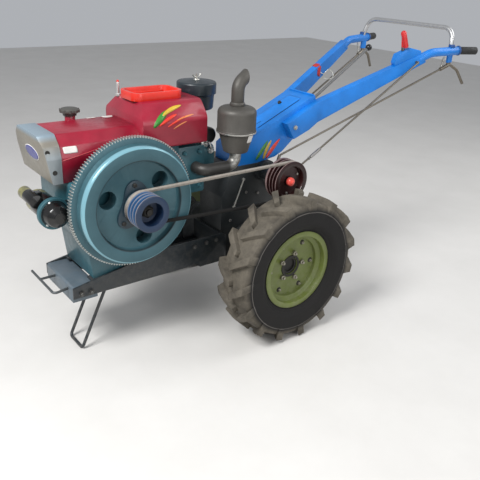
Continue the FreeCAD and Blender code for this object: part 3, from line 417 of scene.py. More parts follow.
# Engine castings: one teal enamel over rough iron. Studs with nuts hold the head and its rocker cover,
# and two small bolts stand at the front edge of the timing cover. All are painted with the engine.
engine_paint = painted("engine_paint", (0.022, 0.088, 0.112), rough=0.36, gloss=0.22, grain=150, bump=0.3)
engine_nuts = painted("engine_nuts", (0.030, 0.105, 0.130), rough=0.4, metal=0.2, grain=300)
for label in ("crankcase", "timing_cover", "cylinder_head", "rocker_cover", "intake_elbow"):
    dress(label, engine_paint)
screws("timing_cover_bolts", "timing_cover", from_right,
       around((0.60, -0.30, 0.60), 12, 0.175, rise=0.20)[:2],
       engine_nuts, across=0.013, high=0.007)
screws("rocker_cover_nuts", "rocker_cover", from_behind,
       [(0.1, y, z) for y in (-0.055, 0.045) for z in (0.67, 0.76)],
       engine_nuts, across=0.014, high=0.008, stud=0.005)
screws("head_nuts", "cylinder_head", from_left,
       [(x, 0.2, z) for x in (0.262, 0.334) for z in (0.632, 0.776)],
       engine_nuts, across=0.017, high=0.010, stud=0.008)


# Brake rod: a thin plated rod that lies slanting on the gearbox's left side. A nut at each end holds
# it to the casting.
def rod(shape, points, radius, sides=3):
    """A round rod or wire with closed ends that bends smoothly past its points."""
    line = bpy.data.curves.new("rod", "CURVE")
    line.dimensions = "3D"
    line.bevel_depth = radius
    line.bevel_resolution = sides
    line.use_fill_caps = True
    spline = line.splines.new("NURBS")
    spline.points.add(len(points) - 1)
    for knot, place in zip(spline.points, points):
        knot.co = (*place, 1)
    spline.order_u = min(3, len(points))
    spline.use_endpoint_u = True
    spline.resolution_u = 8
    holder = bpy.data.objects.new("rod", line)
    mesh = bpy.data.meshes.new_from_object(holder)
    shape.from_mesh(mesh)
    bpy.data.objects.remove(holder)
    bpy.data.curves.remove(line)
    bpy.data.meshes.remove(mesh)


leftward = (0, 1, 0)
shape = bmesh.new()
for x, z in ((0.016, 0.612), (0.064, 0.492)):
    hex_nut(shape, (x, 0.0835, z), leftward, across=0.012, high=0.009)
rod(shape, [(0.014, 0.0885, 0.617), (0.040, 0.0885, 0.552), (0.066, 0.0885, 0.487)], radius=0.0032)
add_piece("brake_rod", shape, zinc)

# Flywheel: heavy cast iron in the engine's teal, with a pale painted highlight along its front chamfer
# and a dark line of painted shade in the step of its face. A shrunk-on steel ring with 138 teeth
# stands round its rear edge.
crank_x, crank_z = 0.615, 0.652
flywheel_iron, shader, where = new_material("flywheel_iron")
radius = from_centre(where, (crank_x, crank_z))
patches = spread(noise(where, 7.0), 0.3, 0.7, 0.0, 1.0)
paint = mixed(patches, (0.030, 0.085, 0.105), (0.045, 0.112, 0.135))
# A dark line of painted shade in the step of the face, and a pale teal painted highlight on the front
# chamfer.
step_shade = band(radius, 0.167, 0.1712, 0.1725, 0.1765)
step_shaded_paint = mixed(sums("MULTIPLY", step_shade, 0.85), paint, (0.010, 0.016, 0.020))
chamfer_highlight = sums("MULTIPLY", spread(radius, 0.2145, 0.2165, 0.0, 1.0),
               spread(measured(where, "Y"), 0.2230, 0.2290, 0.0, 1.0))
set_looks(shader, {"Base Color": mixed(sums("MULTIPLY", chamfer_highlight, 0.8), step_shaded_paint, (0.20, 0.40, 0.47)),
                   "Roughness": spread(chamfer_highlight, 0.0, 1.0, 0.42, 0.26), "Metallic": 0.15})
add_bump(shader, noise(where, 170.0, 3.0), 0.22, 0.0006)
dress("flywheel", flywheel_iron)
tooth_steel = bright("tooth_steel", (0.52, 0.54, 0.52), rough=0.36, stain=(0.06, 0.10, 0.11), stained=0.5)
teeth, tooth_radius, tooth_y = 138, 0.2445, 0.184
tooth_size, tip_taper = (0.0052, 0.0235, 0.0085, 1), (0.62, 0.94, 1)
shape = bmesh.new()
first_tooth = Matrix.Translation((crank_x, tooth_y, crank_z + tooth_radius)) @ Matrix.Diagonal(tooth_size)
corners = bmesh.ops.create_cube(shape, size=1, matrix=first_tooth)["verts"]
bmesh.ops.scale(shape, verts=[v for v in corners if v.co.z > crank_z + tooth_radius], vec=tip_taper,
                space=Matrix.Translation((-crank_x, -tooth_y, -crank_z)))
bmesh.ops.spin(shape, geom=shape.verts[:] + shape.edges[:] + shape.faces[:],
               cent=(crank_x, tooth_y, crank_z), axis=leftward,
               angle=math.tau * (teeth - 1) / teeth, steps=teeth - 1, use_duplicate=True)
add_piece("starter_ring_teeth", shape, tooth_steel, "crank")


# Engine pulley: four grooves, blue paint worn to rust and bare metal on the groove edges. It sits on a
# dark three-lobed flange that is bolted to the flywheel, and one nut holds it on the shaft's end.
def worn_pulley(name, colour, middle, edge_from, bore, shade_colour, front, worn=(0.34, 0.26, 0.20)):
    """Pulley paint: worn through on the outer edges of the grooves, with painted shade in the bore and on
    the recessed front.
    """
    material, shader, where = new_material(name)
    radius = from_centre(where, middle)
    patches = spread(noise(where, 30.0, 5.0), 0.3, 0.7, 0.55, 1.0)
    edges = sums("MULTIPLY", spread(radius, edge_from, edge_from + 0.002, 0.0, 0.75), patches)
    # Painted shade: dark in the bore and on the recessed front face.
    depth = sums("MAXIMUM", spread(radius, bore - 0.001, bore + 0.001, 1.0, 0.0),
                 spread(measured(where, "Y"), front - 0.0025, front - 0.0005, 0.0, 0.9))
    set_looks(shader, {"Base Color": mixed(depth, mixed(edges, colour, worn), shade_colour),
                       "Roughness": spread(edges, 0.0, 1.0, 0.36, 0.5),
                       "Metallic": 0.2, "Coat Weight": 0.2})
    add_bump(shader, noise(where, 240.0, 3.0), 0.12, 0.0005)
    return material


pulley_edge = 0.0008
dress("engine_pulley", worn_pulley("engine_pulley_paint", (0.030, 0.105, 0.235), (crank_x, crank_z),
                                   edge_from=0.0655, bore=0.0462, shade_colour=(0.006, 0.018, 0.048),
                                   front=0.334), pulley_edge)
flange_paint = painted("flange_paint", (0.008, 0.026, 0.040), rough=0.42, gloss=0.2, dust=0.05)
lobe_turn, lobe_bolts, waist, lobe_length = 78.7, 0.085, 0.066, 0.035
flange_back, flange_thick = 0.2245, 0.010
shape = bmesh.new()
bmesh.ops.create_circle(shape, cap_ends=True, segments=108, radius=1.0)
for point in shape.verts:
    turn = math.atan2(point.co.y, point.co.x)
    reach = waist + lobe_length * (0.5 + 0.5 * math.cos(3 * (turn - math.radians(lobe_turn)))) ** 1.25
    point.co = Vector((crank_x + reach * math.cos(turn), flange_back, crank_z + reach * math.sin(turn)))
extruded = bmesh.ops.extrude_face_region(shape, geom=shape.faces[:])["geom"]
front = [item for item in extruded if isinstance(item, bmesh.types.BMVert)]
bmesh.ops.translate(shape, verts=front, vec=(0, flange_thick, 0))
front_rim = [edge for edge in shape.edges if all(v in front for v in edge.verts)]
bmesh.ops.bevel(shape, geom=front_rim, offset=0.0015, affect="EDGES", segments=2, profile=0.5,
                material=-1)
add_piece("pulley_flange", shape, flange_paint, "crank")
shape = bmesh.new()
for spot in around((crank_x, 0.2344, crank_z), 3, lobe_bolts, start=lobe_turn):
    hex_nut(shape, spot, leftward, across=0.015, high=0.009)
hex_nut(shape, (crank_x, 0.2875, crank_z), leftward, across=0.042, high=0.018, stud=0.008)
add_piece("pulley_bolts", shape, dark_iron_and_shade, "crank")

# Clutch pulley: cast iron in dark maroon with pale worn groove edges, three small screws in its dished
# face, and a coral-red cap over the end of the shaft.
clutch_x, clutch_z = -0.095, 0.636
dress("clutch_pulley", worn_pulley("clutch_pulley_paint", (0.028, 0.006, 0.006), (clutch_x, clutch_z),
                                   edge_from=0.0868, bore=0.0, shade_colour=(0.018, 0.004, 0.004),
                                   front=0.276, worn=(0.36, 0.25, 0.24)), pulley_edge)
coral = painted("coral_paint", (0.72, 0.085, 0.065), rough=0.3, gloss=0.3, dust=0.05)
shape = bmesh.new()
turned(shape, [(0, 0), (0, 0.0185), (0.012, 0.0185), (0.0165, 0.0165), (0.019, 0.010), (0.020, 0)],
       (clutch_x, 0.262, clutch_z), leftward, 36)
hex_nut(shape, (clutch_x, 0.281, clutch_z), leftward, across=0.013, high=0.007)
add_piece("clutch_cap", shape, coral, "clutch")
shape = bmesh.new()
for spot in around((clutch_x, 0.2515, clutch_z), 3, 0.055, start=35):
    hex_nut(shape, spot, leftward, across=0.010, high=0.006)
add_piece("clutch_screws", shape, zinc, "clutch")

# Drive belt: black rubber with a woven cover, in one plane from the engine pulley to the clutch pulley.
# Dry dust lies on its upper run, and the lower run stays dark.
belt_rubber, shader, where = new_material("belt_rubber")
dusty = sums("MULTIPLY", spread(measured(where, "Z"), 0.62, 0.70, 0.0, 1.0),
             spread(noise(where, 60.0, 5.0), 0.3, 0.6, 0.7, 1.0))
set_looks(shader, {"Base Color": mixed(dusty, (0.009, 0.0085, 0.008), (0.30, 0.27, 0.235)),
                   "Roughness": 0.8, "Specular IOR Level": 0.2})
add_bump(shader, noise(where, 700.0, 2.0), 0.3, 0.0004)
dress("drive_belt", belt_rubber, 0.0005)


# Hood: pressed sheet in deep red gloss over the fuel tank and the radiator, with a pressed bead low on
# its side, painted a paler red as a painted highlight. It carries three bare white plates, and green,
# yellow, red and orange brush stripes by the radiator.
def laid(name, cells, aim, label, towards, material, lift, sheet):
    """A thin grid laid on a part's skin. aim turns its u and v, -1 to 1, into a place beside the part."""
    skin = skin_of(label)
    shape = bmesh.new()
    bmesh.ops.create_grid(shape, x_segments=cells[0], y_segments=cells[1], size=1.0)
    stray = []
    for point in shape.verts:
        spot, _ = on_skin(skin, aim(point.co.x, point.co.y), towards, lift)
        if spot is None:
            stray.append(point)
        else:
            point.co = spot
    bmesh.ops.delete(shape, geom=stray, context="VERTS")
    add_piece(name, shape, material, sheet=sheet)


def laid_sheet(name, corners, label, towards, material, roundness=8.0, lift=0.0009, sheet=0.0008,
               cells=(14, 8)):
    """A thin plate with rounded corners: its middle, half length and half height as vectors."""
    middle, half_long, half_high = (Vector(v) for v in corners)

    def aim(u, v):
        size = (abs(u) ** roundness + abs(v) ** roundness) ** (1 / roundness)
        shrink = max(abs(u), abs(v)) / size if size else 1.0
        return middle + half_long * u * shrink + half_high * v * shrink

    laid(name, cells, aim, label, towards, material, lift, sheet)


def stripe(name, start, bend, end, wide, label, towards, material, lift=0.0006, blunt=0.55):
    """A brushed stripe that tapers at both ends and bends past one point."""
    start, bend, end = (Vector(v) for v in (start, bend, end))

    def aim(u, v):
        t = u / 2 + 0.5
        way = (bend - start) * (1 - t) + (end - bend) * t
        middle = start * (1 - t) ** 2 + bend * 2 * t * (1 - t) + end * t ** 2
        width = wide * max(0.06, math.sin(math.pi * min(1, 0.04 + 0.94 * t))) ** blunt
        return middle + way.cross(Vector(towards)).normalized() * (v / 2) * width

    laid(name, (16, 2), aim, label, towards, material, lift, sheet=0.0005)


def brush_stripes(label, strokes):
    """Stripes on a part's left side: a name, an ink, three (x, z) places, a width and a lift."""
    for name, ink, *places, wide, lift in strokes:
        start, bend, end = ((x, 0.2, z) for x, z in places)
        stripe(name, start, bend, end, wide, label, from_left, inks[ink], lift)


hood_paint = painted("hood_paint", (0.250, 0.0035, 0.020), rough=0.34, gloss=0.32, bump=0.03, dust=0.1)
dress("fuel_tank", hood_paint)
dress("radiator_hopper", hood_paint)
from_above = (0, 0, -1)
plate_white = painted("plate_white", (0.62, 0.60, 0.57), rough=0.4, gloss=0.2, bump=0.03, dust=0.1)
laid_sheet("side_plate", ((0.808, 0.2, 0.8565), (0.0255, 0, 0.0005), (0.001, 0, 0.0112)),
           "fuel_tank", from_left, plate_white)
laid_sheet("top_plate", ((0.628, -0.118, 1.0), (0.019, 0, 0), (0, 0.013, 0)),
           "fuel_tank", from_above, plate_white)
laid_sheet("top_badge", ((0.562, -0.105, 1.0), (0.023, 0, 0), (0, 0.017, 0)),
           "fuel_tank", from_above, plate_white, roundness=2.0)
tank_skin = skin_of("fuel_tank")
bead = [on_skin(tank_skin, (0.868 - 0.018 * k, 0.2, 0.8185 + 0.0031 * k), from_left)[0]
        for k in range(11)]
shape = bmesh.new()
rod(shape, [spot for spot in bead if spot is not None], radius=0.0016)
# The bead's paler red is a painted highlight.
add_piece("hood_bead", shape, painted("bead_highlight_paint", (0.40, 0.05, 0.06), rough=0.25, gloss=0.5, dust=0.05))
inks = {ink: painted("stripe_" + ink, colour, rough=0.3, gloss=0.3, bump=0.03, dust=0.05)
        for ink, colour in (("green", (0.03, 0.20, 0.02)), ("yellow", (0.52, 0.34, 0.02)),
                            ("red", (0.66, 0.030, 0.012)), ("orange", (0.62, 0.20, 0.06)))}
brush_stripes("radiator_hopper", (
    ("hood_stripe_green", "green", (0.486, 0.902), (0.462, 0.930), (0.412, 0.954), 0.021, 0.0006),
    ("hood_stripe_yellow", "yellow", (0.440, 0.940), (0.400, 0.960), (0.345, 0.967), 0.013, 0.0016),
    ("hood_stripe_red", "red", (0.462, 0.905), (0.425, 0.929), (0.378, 0.940), 0.012, 0.0011),
    ("hood_stripe_red_low", "red", (0.425, 0.898), (0.385, 0.918), (0.346, 0.930), 0.009, 0.0006),
    ("hood_stripe_orange", "orange", (0.384, 0.920), (0.345, 0.930), (0.304, 0.934), 0.006, 0.0006),
    ("hood_stripe_orange_low", "orange", (0.400, 0.888), (0.372, 0.903), (0.340, 0.912), 0.005, 0.0006)))

# Hood's front cap: dull silver sheet with a painted bluish highlight along its top and on its left
# flank, and a bare oval badge in a pale ring. Two dark countersunk screws in each flank hold it on the
# hood; their dark heads are painted shade for the holes in the flank.
cap_paint, shader, where = new_material("cap_paint")
patches = spread(noise(where, 11.0), 0.3, 0.7, 0.0, 1.0)
warm = mixed(patches, (0.200, 0.185, 0.155), (0.245, 0.228, 0.195))
# Painted highlight: a bluish sheen along the top and on the left flank.
cap_top_highlight = sums("MAXIMUM", spread(measured(where, "Z"), 0.886, 0.903, 0.0, 1.0),
             spread(measured(where, "Y"), 0.100, 0.113, 0.0, 0.55))
set_looks(shader, {"Base Color": mixed(cap_top_highlight, warm, (0.235, 0.300, 0.350)), "Metallic": 0.35,
                   "Roughness": spread(noise(where, 60.0, 5.0), 0.3, 0.7, 0.34, 0.5)})
add_bump(shader, noise(where, 200.0, 3.0), 0.06, 0.0005)
dress("hood_cap", cap_paint)
badge_blue = painted("badge_blue", (0.028, 0.034, 0.200), rough=0.3, gloss=0.3, bump=0.02, dust=0.05)
from_ahead = (-1, 0, 0)
badge_middle, badge_up = (1.1, -0.027, 0.827), Vector((0.032, 0, 0.163)).normalized()
laid_sheet("badge_ring", (badge_middle, (0, 0.064, 0), badge_up * 0.0275), "hood_cap", from_ahead,
           plate_white, roundness=2.0)
laid_sheet("badge", (badge_middle, (0, 0.0595, 0), badge_up * 0.0238), "hood_cap", from_ahead,
           badge_blue, roundness=2.0, lift=0.0018)
cap_skin = skin_of("hood_cap")
# Dark screw heads that stand for the shade in the flank's holes.
countersunk = [(-0.001, 0), (-0.001, 0.0085), (0.0010, 0.0085), (0.0014, 0.0070), (0.0006, 0.0030),
               (0.0006, 0)]
shape = bmesh.new()
for out in (1, -1):
    for x, z in ((0.891, 0.856), (0.873, 0.785)):
        spot, _ = on_skin(cap_skin, (x, out * 0.2, z), (0, -out, 0))
        turned(shape, countersunk, spot, (0, out, 0), 24)
add_piece("cap_screws", shape, dark_iron_and_shade)

# Fuel cap: black moulded plastic with a lighter, dusty skirt and ten grip ribs, screwed on the tank's
# filler neck.
black_plastic = painted("black_plastic", (0.022, 0.022, 0.022), rough=0.34, gloss=0.15, bump=0.06,
                        dust=0.3)
dress("fuel_cap", black_plastic)
fuel_cap_x, fuel_cap_y, grips = 0.700, -0.140, 10
shape = bmesh.new()
turned(shape, [(0, 0), (0, 0.033), (0.004, 0.0365), (0.011, 0.0365), (0.016, 0.031), (0.0185, 0.018),
               (0.0185, 0)], (fuel_cap_x, fuel_cap_y, 0.9275), upward, 40)
for k in range(grips):
    turn = k * math.tau / grips
    grip = (fuel_cap_x + 0.0355 * math.cos(turn), fuel_cap_y + 0.0355 * math.sin(turn), 0.9285)
    turned(shape, [(0.001, 0), (0.001, 0.004), (0.012, 0.004), (0.014, 0)], grip, upward, 10)
add_piece("fuel_cap_skirt", shape, painted("cap_plastic", (0.060, 0.058, 0.052), rough=0.45, bump=0.1,
                                           dust=0.6))

# Radiator's top: a red moulded filler tray with two ribs along its lid, and the float gauge beside it.
# The gauge is a bright rod with a small red tip, and stands through a nut on the hood.
red_plastic = painted("red_plastic", (0.62, 0.022, 0.010), rough=0.3, gloss=0.3, bump=0.05, dust=0.05)
dress("water_filler", red_plastic)
gauge, _ = on_skin(skin_of("radiator_hopper"), (0.505, -0.118, 1.3), from_above)
shape = bmesh.new()
hex_nut(shape, gauge - Vector((0, 0, 0.001)), upward, across=0.019, high=0.010)
turned(shape, [(0, 0), (0, 0.0062), (0.050, 0.0062), (0.053, 0.0040), (0.053, 0)], gauge, upward, 18)
add_piece("float_rod", shape, bright("gauge_metal", (0.66, 0.66, 0.64), rough=0.34, stained=0.1))
shape = bmesh.new()
turned(shape, [(0.051, 0), (0.051, 0.0046), (0.056, 0.0050), (0.060, 0.0036), (0.061, 0)],
       gauge, upward, 18)
add_piece("float_tip", shape, red_plastic)
shape = bmesh.new()
for y in (-0.062, 0.014):
    bmesh.ops.create_cube(shape, size=1, matrix=Matrix.Translation((0.410, y, 0.996))
                          @ Matrix.Diagonal((0.150, 0.006, 0.010, 1)))
bmesh.ops.bevel(shape, geom=shape.edges[:], offset=0.0018, affect="EDGES", segments=2, profile=0.5,
                material=-1)
add_piece("tray_ribs", shape, red_plastic)

# Air cleaner: an oil-bath bowl and its hat, pressed from sheet steel in dark enamel. One zinc wing nut
# on the centre bolt holds the hat down.
cleaner_paint = painted("cleaner_paint", (0.009, 0.017, 0.023), rough=0.42, gloss=0.2, bump=0.08)
dress("air_cleaner", cleaner_paint)
bolt_x, bolt_y = 0.157, -0.086
shape = bmesh.new()
turned(shape, [(-0.004, 0), (-0.004, 0.014), (0.002, 0.012), (0.002, 0.004), (0.022, 0.004), (0.023, 0)],
       (bolt_x, bolt_y, 1.026), upward, 20)
hex_nut(shape, (bolt_x, bolt_y, 1.028), upward, across=0.012, high=0.008)
for out in (1, -1):
    rod(shape, [(bolt_x, bolt_y, 1.033), (bolt_x + out * 0.012, bolt_y, 1.036),
                (bolt_x + out * 0.020, bolt_y, 1.046)], radius=0.0030)
add_piece("wing_nut", shape, zinc)

# Exhaust: a manifold bend, the two-shell muffler and its cut tail pipe in heat-dulled grey paint. A
# bright rolled seam joins the shells, a bare label is stuck on one side, and a pale painted highlight
# lies on the bend.
muffler_paint = painted("muffler_paint", (0.075, 0.070, 0.062), rough=0.5, metal=0.35, grain=260,
                        bump=0.2)
dress("muffler", muffler_paint)
dress("tail_pipe", muffler_paint)
bend_metal, shader, where = new_material("bend_metal")
# Painted highlight: pale and shinier on the end of the bend.
bend_highlight = sums("MULTIPLY", spread(measured(where, "X"), 0.165, 0.135, 0.0, 1.0),
              spread(noise(where, 34.0, 5.0), 0.35, 0.6, 0.2, 1.0))
set_looks(shader, {"Base Color": mixed(bend_highlight, (0.050, 0.048, 0.045), (0.44, 0.43, 0.40)),
                   "Roughness": spread(bend_highlight, 0.0, 1.0, 0.5, 0.28), "Metallic": 0.6})
add_bump(shader, noise(where, 200.0, 3.0), 0.2, 0.0005)
dress("exhaust_manifold", bend_metal)
muffler_x, muffler_y, seam_height, collar_height = 0.122, 0.156, 0.856, 0.965
shape = bmesh.new()
turned(shape, [(-0.004, 0.0800), (-0.002, 0.0822), (0.002, 0.0822), (0.004, 0.0800), (-0.004, 0.0800)],
       (muffler_x, muffler_y, seam_height), upward, 72)
add_piece("muffler_seam", shape, bright("seam_metal", (0.42, 0.41, 0.38), rough=0.3))
shape = bmesh.new()
turned(shape, [(-0.004, 0.0255), (-0.004, 0.031), (0.003, 0.031), (0.008, 0.0265), (0.008, 0.0255),
               (-0.004, 0.0255)], (muffler_x, muffler_y, collar_height), upward, 36)
add_piece("tail_collar", shape, muffler_paint)
laid_sheet("muffler_label", ((0.093, 0.236, 0.834), (0.017, 0.007, 0), (0, 0, 0.016)), "muffler",
           (0.25, -1, 0), plate_white)

# Breather and injector: a round black cap that stands on edge on a short stub of the rocker cover, and
# beside it the plated unions of the injector, with two short bent steel pipes between them.
breather_black = painted("breather_black", (0.012, 0.013, 0.014), rough=0.34, gloss=0.3, bump=0.05,
                         dust=0.1)
shape = bmesh.new()
turned(shape, [(0, 0), (0, 0.030), (0.004, 0.034), (0.024, 0.034), (0.029, 0.030), (0.031, 0.018),
               (0.029, 0)], (0.196, 0.046, 0.826), leftward, 40)
turned(shape, [(0, 0.013), (0.045, 0.013), (0.050, 0)], (0.200, 0.058, 0.780), upward, 18)
add_piece("breather_cap", shape, breather_black)
shape = bmesh.new()
for place, axis, across, high, stud in (
        ((0.228, 0.066, 0.784), upward, 0.019, 0.020, 0.014),
        ((0.210, 0.068, 0.784), (0, 0.3, 1), 0.017, 0.015, 0.008),
        ((0.228, 0.060, 0.822), (-0.1, 1, 0.2), 0.017, 0.022, 0.008),
        ((0.194, 0.0745, 0.766), leftward, 0.025, 0.014, 0.006)):
    hex_nut(shape, place, axis, across, high, stud)
rod(shape, [(0.228, 0.066, 0.800), (0.228, 0.072, 0.822), (0.236, 0.086, 0.826), (0.244, 0.092, 0.812),
            (0.246, 0.092, 0.797)], radius=0.0042)
rod(shape, [(0.210, 0.070, 0.796), (0.206, 0.086, 0.804), (0.200, 0.092, 0.790), (0.196, 0.088, 0.770)],
    radius=0.0048)
turned(shape, [(0, 0), (0, 0.0105), (0.012, 0.0105), (0.014, 0.0080), (0.034, 0.0080), (0.037, 0.0055),
               (0.037, 0)], (0.241, 0.086, 0.803), upward, 24)
add_piece("injector_fittings", shape, bright("fitting_metal", (0.62, 0.62, 0.60), rough=0.24,
                                             stained=0.1))

# Starter motor: black enamel, with an old brass-coloured end shell away from the flywheel. A teal
# mounting flange with three bolts holds it, and a copper terminal stands on its far end.
starter_paint, shader, where = new_material("starter_paint")
brassy = sums("MULTIPLY", spread(measured(where, "Y"), -0.008, -0.014, 0.0, 1.0),
              spread(noise(where, 40.0, 6.0, 0.7), 0.35, 0.6, 0.25, 1.0))
set_looks(shader, {"Base Color": mixed(brassy, (0.010, 0.010, 0.010), (0.30, 0.28, 0.10)),
                   "Roughness": spread(brassy, 0.0, 1.0, 0.24, 0.42), "Metallic": 0.35,
                   "Coat Weight": 0.3})
add_bump(shader, noise(where, 220.0, 3.0), 0.15, 0.0005)
dress("starter_motor", starter_paint)
starter_x, starter_z = 0.884, 0.634
shape = bmesh.new()
turned(shape, [(0, 0.0535), (0, 0.0590), (0.015, 0.0590), (0.017, 0.0565), (0.017, 0.0500),
               (0.0125, 0.0500), (0, 0.0535)], (starter_x, 0.0945, starter_z), leftward, 48)
add_piece("starter_flange", shape, engine_nuts)
shape = bmesh.new()
for spot in around((starter_x, 0.1075, starter_z), 3, 0.0455, start=70):
    hex_nut(shape, spot, leftward, across=0.012, high=0.007, stud=0.002)
add_piece("starter_bolts", shape, bright("starter_bolt", (0.55, 0.56, 0.55), rough=0.28, stained=0.2))
terminal_copper = bright("terminal_copper", (0.52, 0.30, 0.14), rough=0.3)
screws("starter_terminals", "starter_motor", from_right, [(starter_x, -0.2, starter_z)],
       terminal_copper, across=0.011, high=0.007, stud=0.006)

# Handle box: a folded steel box in bright blue over the gearbox. Its lid is a pressed panel with one
# bolt, a dark strip of painted shade marks the slot along the lid's near edge, and a rolled lip closes
# the rear. Three brush stripes stand on its left side.
handle_paint = painted("handle_paint", (0.0, 0.165, 0.570), rough=0.46, gloss=0.12, bump=0.04, dust=0.1)
for label in ("handle_box", "handle_arm_left", "handle_arm_right", "clutch_quadrant"):
    dress(label, handle_paint)
lid_length = Vector((-0.336, 0, 0.148))
laid_sheet("box_lid", ((-0.200, 0.0, 1.2), lid_length * 0.40, (0, 0.043, 0)), "handle_box", from_above,
           handle_paint, roundness=14.0, lift=0.0016, sheet=0.0022, cells=(20, 10))
# The slot along the lid's edge is a dark strip of painted shade. The small mark beside it uses the same
# dark paint.
slot_shade_and_mark = painted("slot_shade_and_mark", (0.002, 0.012, 0.045), rough=0.6, dust=0.05)
stripe("lid_slot", (-0.086, 0.0455, 1.2), (-0.20, 0.0455, 1.2), (-0.318, 0.0455, 1.2), 0.0034,
       "handle_box", from_above, slot_shade_and_mark, lift=0.0008, blunt=0.1)
stripe("lid_mark", (-0.098, 0.0150, 1.2), (-0.112, 0.0130, 1.2), (-0.124, 0.0160, 1.2), 0.0030,
       "handle_box", from_above, slot_shade_and_mark, lift=0.0034)
square_to_lid = (-0.403, 0, -0.915)
screws("lid_bolt", "handle_box", square_to_lid, [(-0.262, -0.024, 0.902)], dark_iron_and_shade,
       across=0.016, high=0.0115, stud=0.003)
shape = bmesh.new()
rod(shape, [(-0.371, y, 0.9475) for y in (-0.080, 0.0, 0.080)], radius=0.0042)
add_piece("box_lip", shape, handle_paint)
brush_stripes("handle_box", (
    ("box_stripe_green", "green", (-0.050, 0.690), (-0.080, 0.725), (-0.112, 0.768), 0.020, 0.0006),
    ("box_stripe_yellow", "yellow", (-0.092, 0.688), (-0.104, 0.730), (-0.132, 0.768), 0.018, 0.0006),
    ("box_stripe_red", "red", (-0.108, 0.690), (-0.138, 0.728), (-0.182, 0.768), 0.020, 0.0006)))

# Handle arms: pressed and welded blue channels bolted to the box, with black rubber grips on a small
# collar, a stainless hoop between them, and a red strap with a wire loop on the far arm.
screws("arm_bolt_left", "handle_arm_left", from_left, [(-0.232, 0.3, 0.823)], zinc,
       across=0.019, high=0.010, stud=0.003)
screws("arm_bolt_right", "handle_arm_right", from_right, [(-0.232, -0.3, 0.823)], zinc,
       across=0.019, high=0.010, stud=0.003)
grip_rubber = painted("grip_rubber", (0.010, 0.010, 0.010), rough=0.6, grain=420, bump=0.5, dust=0.1)
stainless = bright("stainless", (0.50, 0.50, 0.50), rough=0.32, stained=0.08, brushed=0.0)
collar_paint = painted("collar_paint", (0.003, 0.050, 0.200), rough=0.4, gloss=0.2)
dress("grip_left", grip_rubber)
dress("grip_right", grip_rubber)
dress("hoop", stainless)
for side, out in (("left", 1), ("right", -1)):
    along_grip = Vector((-0.094, out * 0.035, 0))
    shape = bmesh.new()
    turned(shape, [(0, 0.0175), (0, 0.0225), (0.007, 0.0235), (0.009, 0.0215), (0.009, 0.0175),
                   (0, 0.0175)], (-1.108, out * 0.2915, 1.141), along_grip, 32)
    turned(shape, [(0, 0.0105), (0, 0.0150), (0.010, 0.0150), (0.012, 0.0130), (0.012, 0.0105),
                   (0, 0.0105)], (-1.066, out * 0.2853, 1.158), upward, 28)
    add_piece("collars_" + side, shape, collar_paint)
strap_red = painted("strap_red", (0.42, 0.022, 0.020), rough=0.7, grain=500, bump=0.4, dust=0.1)
laid_sheet("far_strap", ((-0.632, 0.2, 1.030), (0.013, 0, 0.006), (-0.004, 0, 0.050)),
           "handle_arm_right", from_left, strap_red, roundness=10.0, lift=0.0014, sheet=0.0020)
laid_sheet("far_strap_top", ((-0.625, -0.176, 1.3), (0.013, 0, 0), (0, 0.017, 0)),
           "handle_arm_right", from_above, strap_red, roundness=14.0, lift=0.0014, sheet=0.0020)
loop_wire = 0.0018
loop = [(-0.700 + 0.034 * math.cos(turn), -0.160 + 0.010 * math.sin(2 * turn),
         0.985 + 0.026 * math.sin(turn)) for turn in (k * math.tau / 12 for k in range(13))]
shape = bmesh.new()
rod(shape, loop, loop_wire)
rod(shape, [(-0.640, -0.166, 1.000), (-0.652, -0.158, 0.990), (-0.668, -0.160, 0.988)], loop_wire)
add_piece("wire_loop", shape, bright("loop_wire", (0.60, 0.60, 0.55), rough=0.3))

# Clutch lever: a plated steel bar on the left arm's quadrant, with a moulded red sleeve over its upper
# end.
sleeve_foot, sleeve_top = Vector((-0.782, 0.239, 1.160)), Vector((-0.762, 0.228, 1.222))
lever_metal, shader, where = new_material("lever_metal")
sleeve = spread(measured(where, "Z"), 1.158, 1.160, 0.0, 1.0)
bar_colour = mixed(noise(where, 30.0), (0.10, 0.10, 0.10), (0.24, 0.23, 0.22))
sleeve_colour = mixed(noise(where, 20.0), (0.40, 0.010, 0.012), (0.58, 0.020, 0.018))
set_looks(shader, {"Base Color": mixed(sleeve, bar_colour, sleeve_colour), "Roughness": 0.34,
                   "Metallic": spread(sleeve, 0.0, 1.0, 0.9, 0.0)})
add_bump(shader, noise(where, 260.0, 2.0), 0.1, 0.0004)
dress("clutch_lever", lever_metal)
shape = bmesh.new()
turned(shape, [(0, 0), (0, 0.0095), (0.004, 0.0110), (0.052, 0.0125), (0.066, 0.0135), (0.074, 0.0100),
               (0.077, 0)], sleeve_foot, sleeve_top - sleeve_foot, 28)
add_piece("lever_sleeve", shape, painted("sleeve_red", (0.52, 0.014, 0.014), rough=0.32, gloss=0.3,
                                         bump=0.05, dust=0.05))

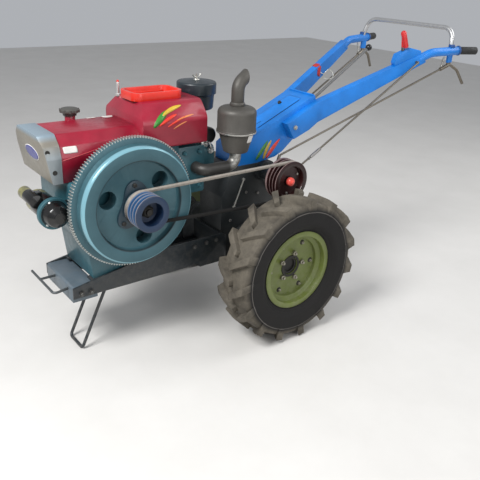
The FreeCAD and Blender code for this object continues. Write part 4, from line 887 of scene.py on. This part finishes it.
# Gear lever: a straight steel rod that stands in a dome on the gearbox and runs back and up between the
# arms, with a black ball of moulded plastic screwed on its tip.
ball_middle, ball_radius = (-0.799, 0.0, 1.131), 0.0175
lever_grey, shader, where = new_material("lever_grey")
gap = where.id_data.nodes.new("ShaderNodeVectorMath")
gap.operation = "DISTANCE"
feed(gap.inputs[0], where)
gap.inputs[1].default_value = ball_middle
ball = spread(gap.outputs["Value"], ball_radius, ball_radius + 0.001, 1.0, 0.0)
rod_colour = mixed(noise(where, 30.0), (0.20, 0.20, 0.20), (0.34, 0.33, 0.31))
set_looks(shader, {"Base Color": mixed(ball, rod_colour, (0.008, 0.008, 0.008)),
                   "Metallic": spread(ball, 0.0, 1.0, 0.85, 0.0),
                   "Roughness": spread(ball, 0.0, 1.0, 0.36, 0.22)})
add_bump(shader, noise(where, 260.0, 2.0), 0.1, 0.0004)
dress("gear_lever", lever_grey)

# Steering levers and clutch rod: dull plated steel. The clutch rod has a turnbuckle between two lock
# nuts, and a coiled wire spring pulls each steering lever home.
rod_steel = bright("rod_steel", (0.19, 0.17, 0.14), rough=0.4, stain=(0.09, 0.05, 0.03), stained=0.5)
for label in ("steering_control_left", "steering_control_right", "clutch_rod"):
    dress(label, rod_steel)
upper_end, lower_end = Vector((-0.852, 0.276, 1.095)), Vector((-0.222, 0.125, 0.604))
along = lower_end - upper_end
shape = bmesh.new()
turned(shape, [(0, 0.004), (0, 0.0075), (0.055, 0.0075), (0.055, 0.004), (0, 0.004)],
       upper_end + along * 0.775, along, 16)
for share in (0.768, 0.850):
    hex_nut(shape, upper_end + along * share, along, across=0.014, high=0.007)
add_piece("turnbuckle", shape, steel)
coil_radius, coil_turns, turn_steps, coil_wire = 0.0065, 8, 8, 0.0012
for side, out in (("left", 1), ("right", -1)):
    start, stop = Vector((-1.030, out * 0.280, 1.120)), Vector((-1.030, out * 0.2690, 1.0545))
    coil = []
    for k in range(coil_turns * turn_steps + 1):
        turn = k * math.tau / turn_steps
        coil.append(start + (stop - start) * (0.12 + 0.76 * k / (coil_turns * turn_steps))
                    + Vector((coil_radius * math.cos(turn), coil_radius * math.sin(turn), 0)))
    shape = bmesh.new()
    rod(shape, [start] + coil + [stop], coil_wire, sides=1)
    add_piece("return_spring_" + side, shape, zinc)

# The bounds of everything that renders, apart from the floor.
low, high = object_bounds()
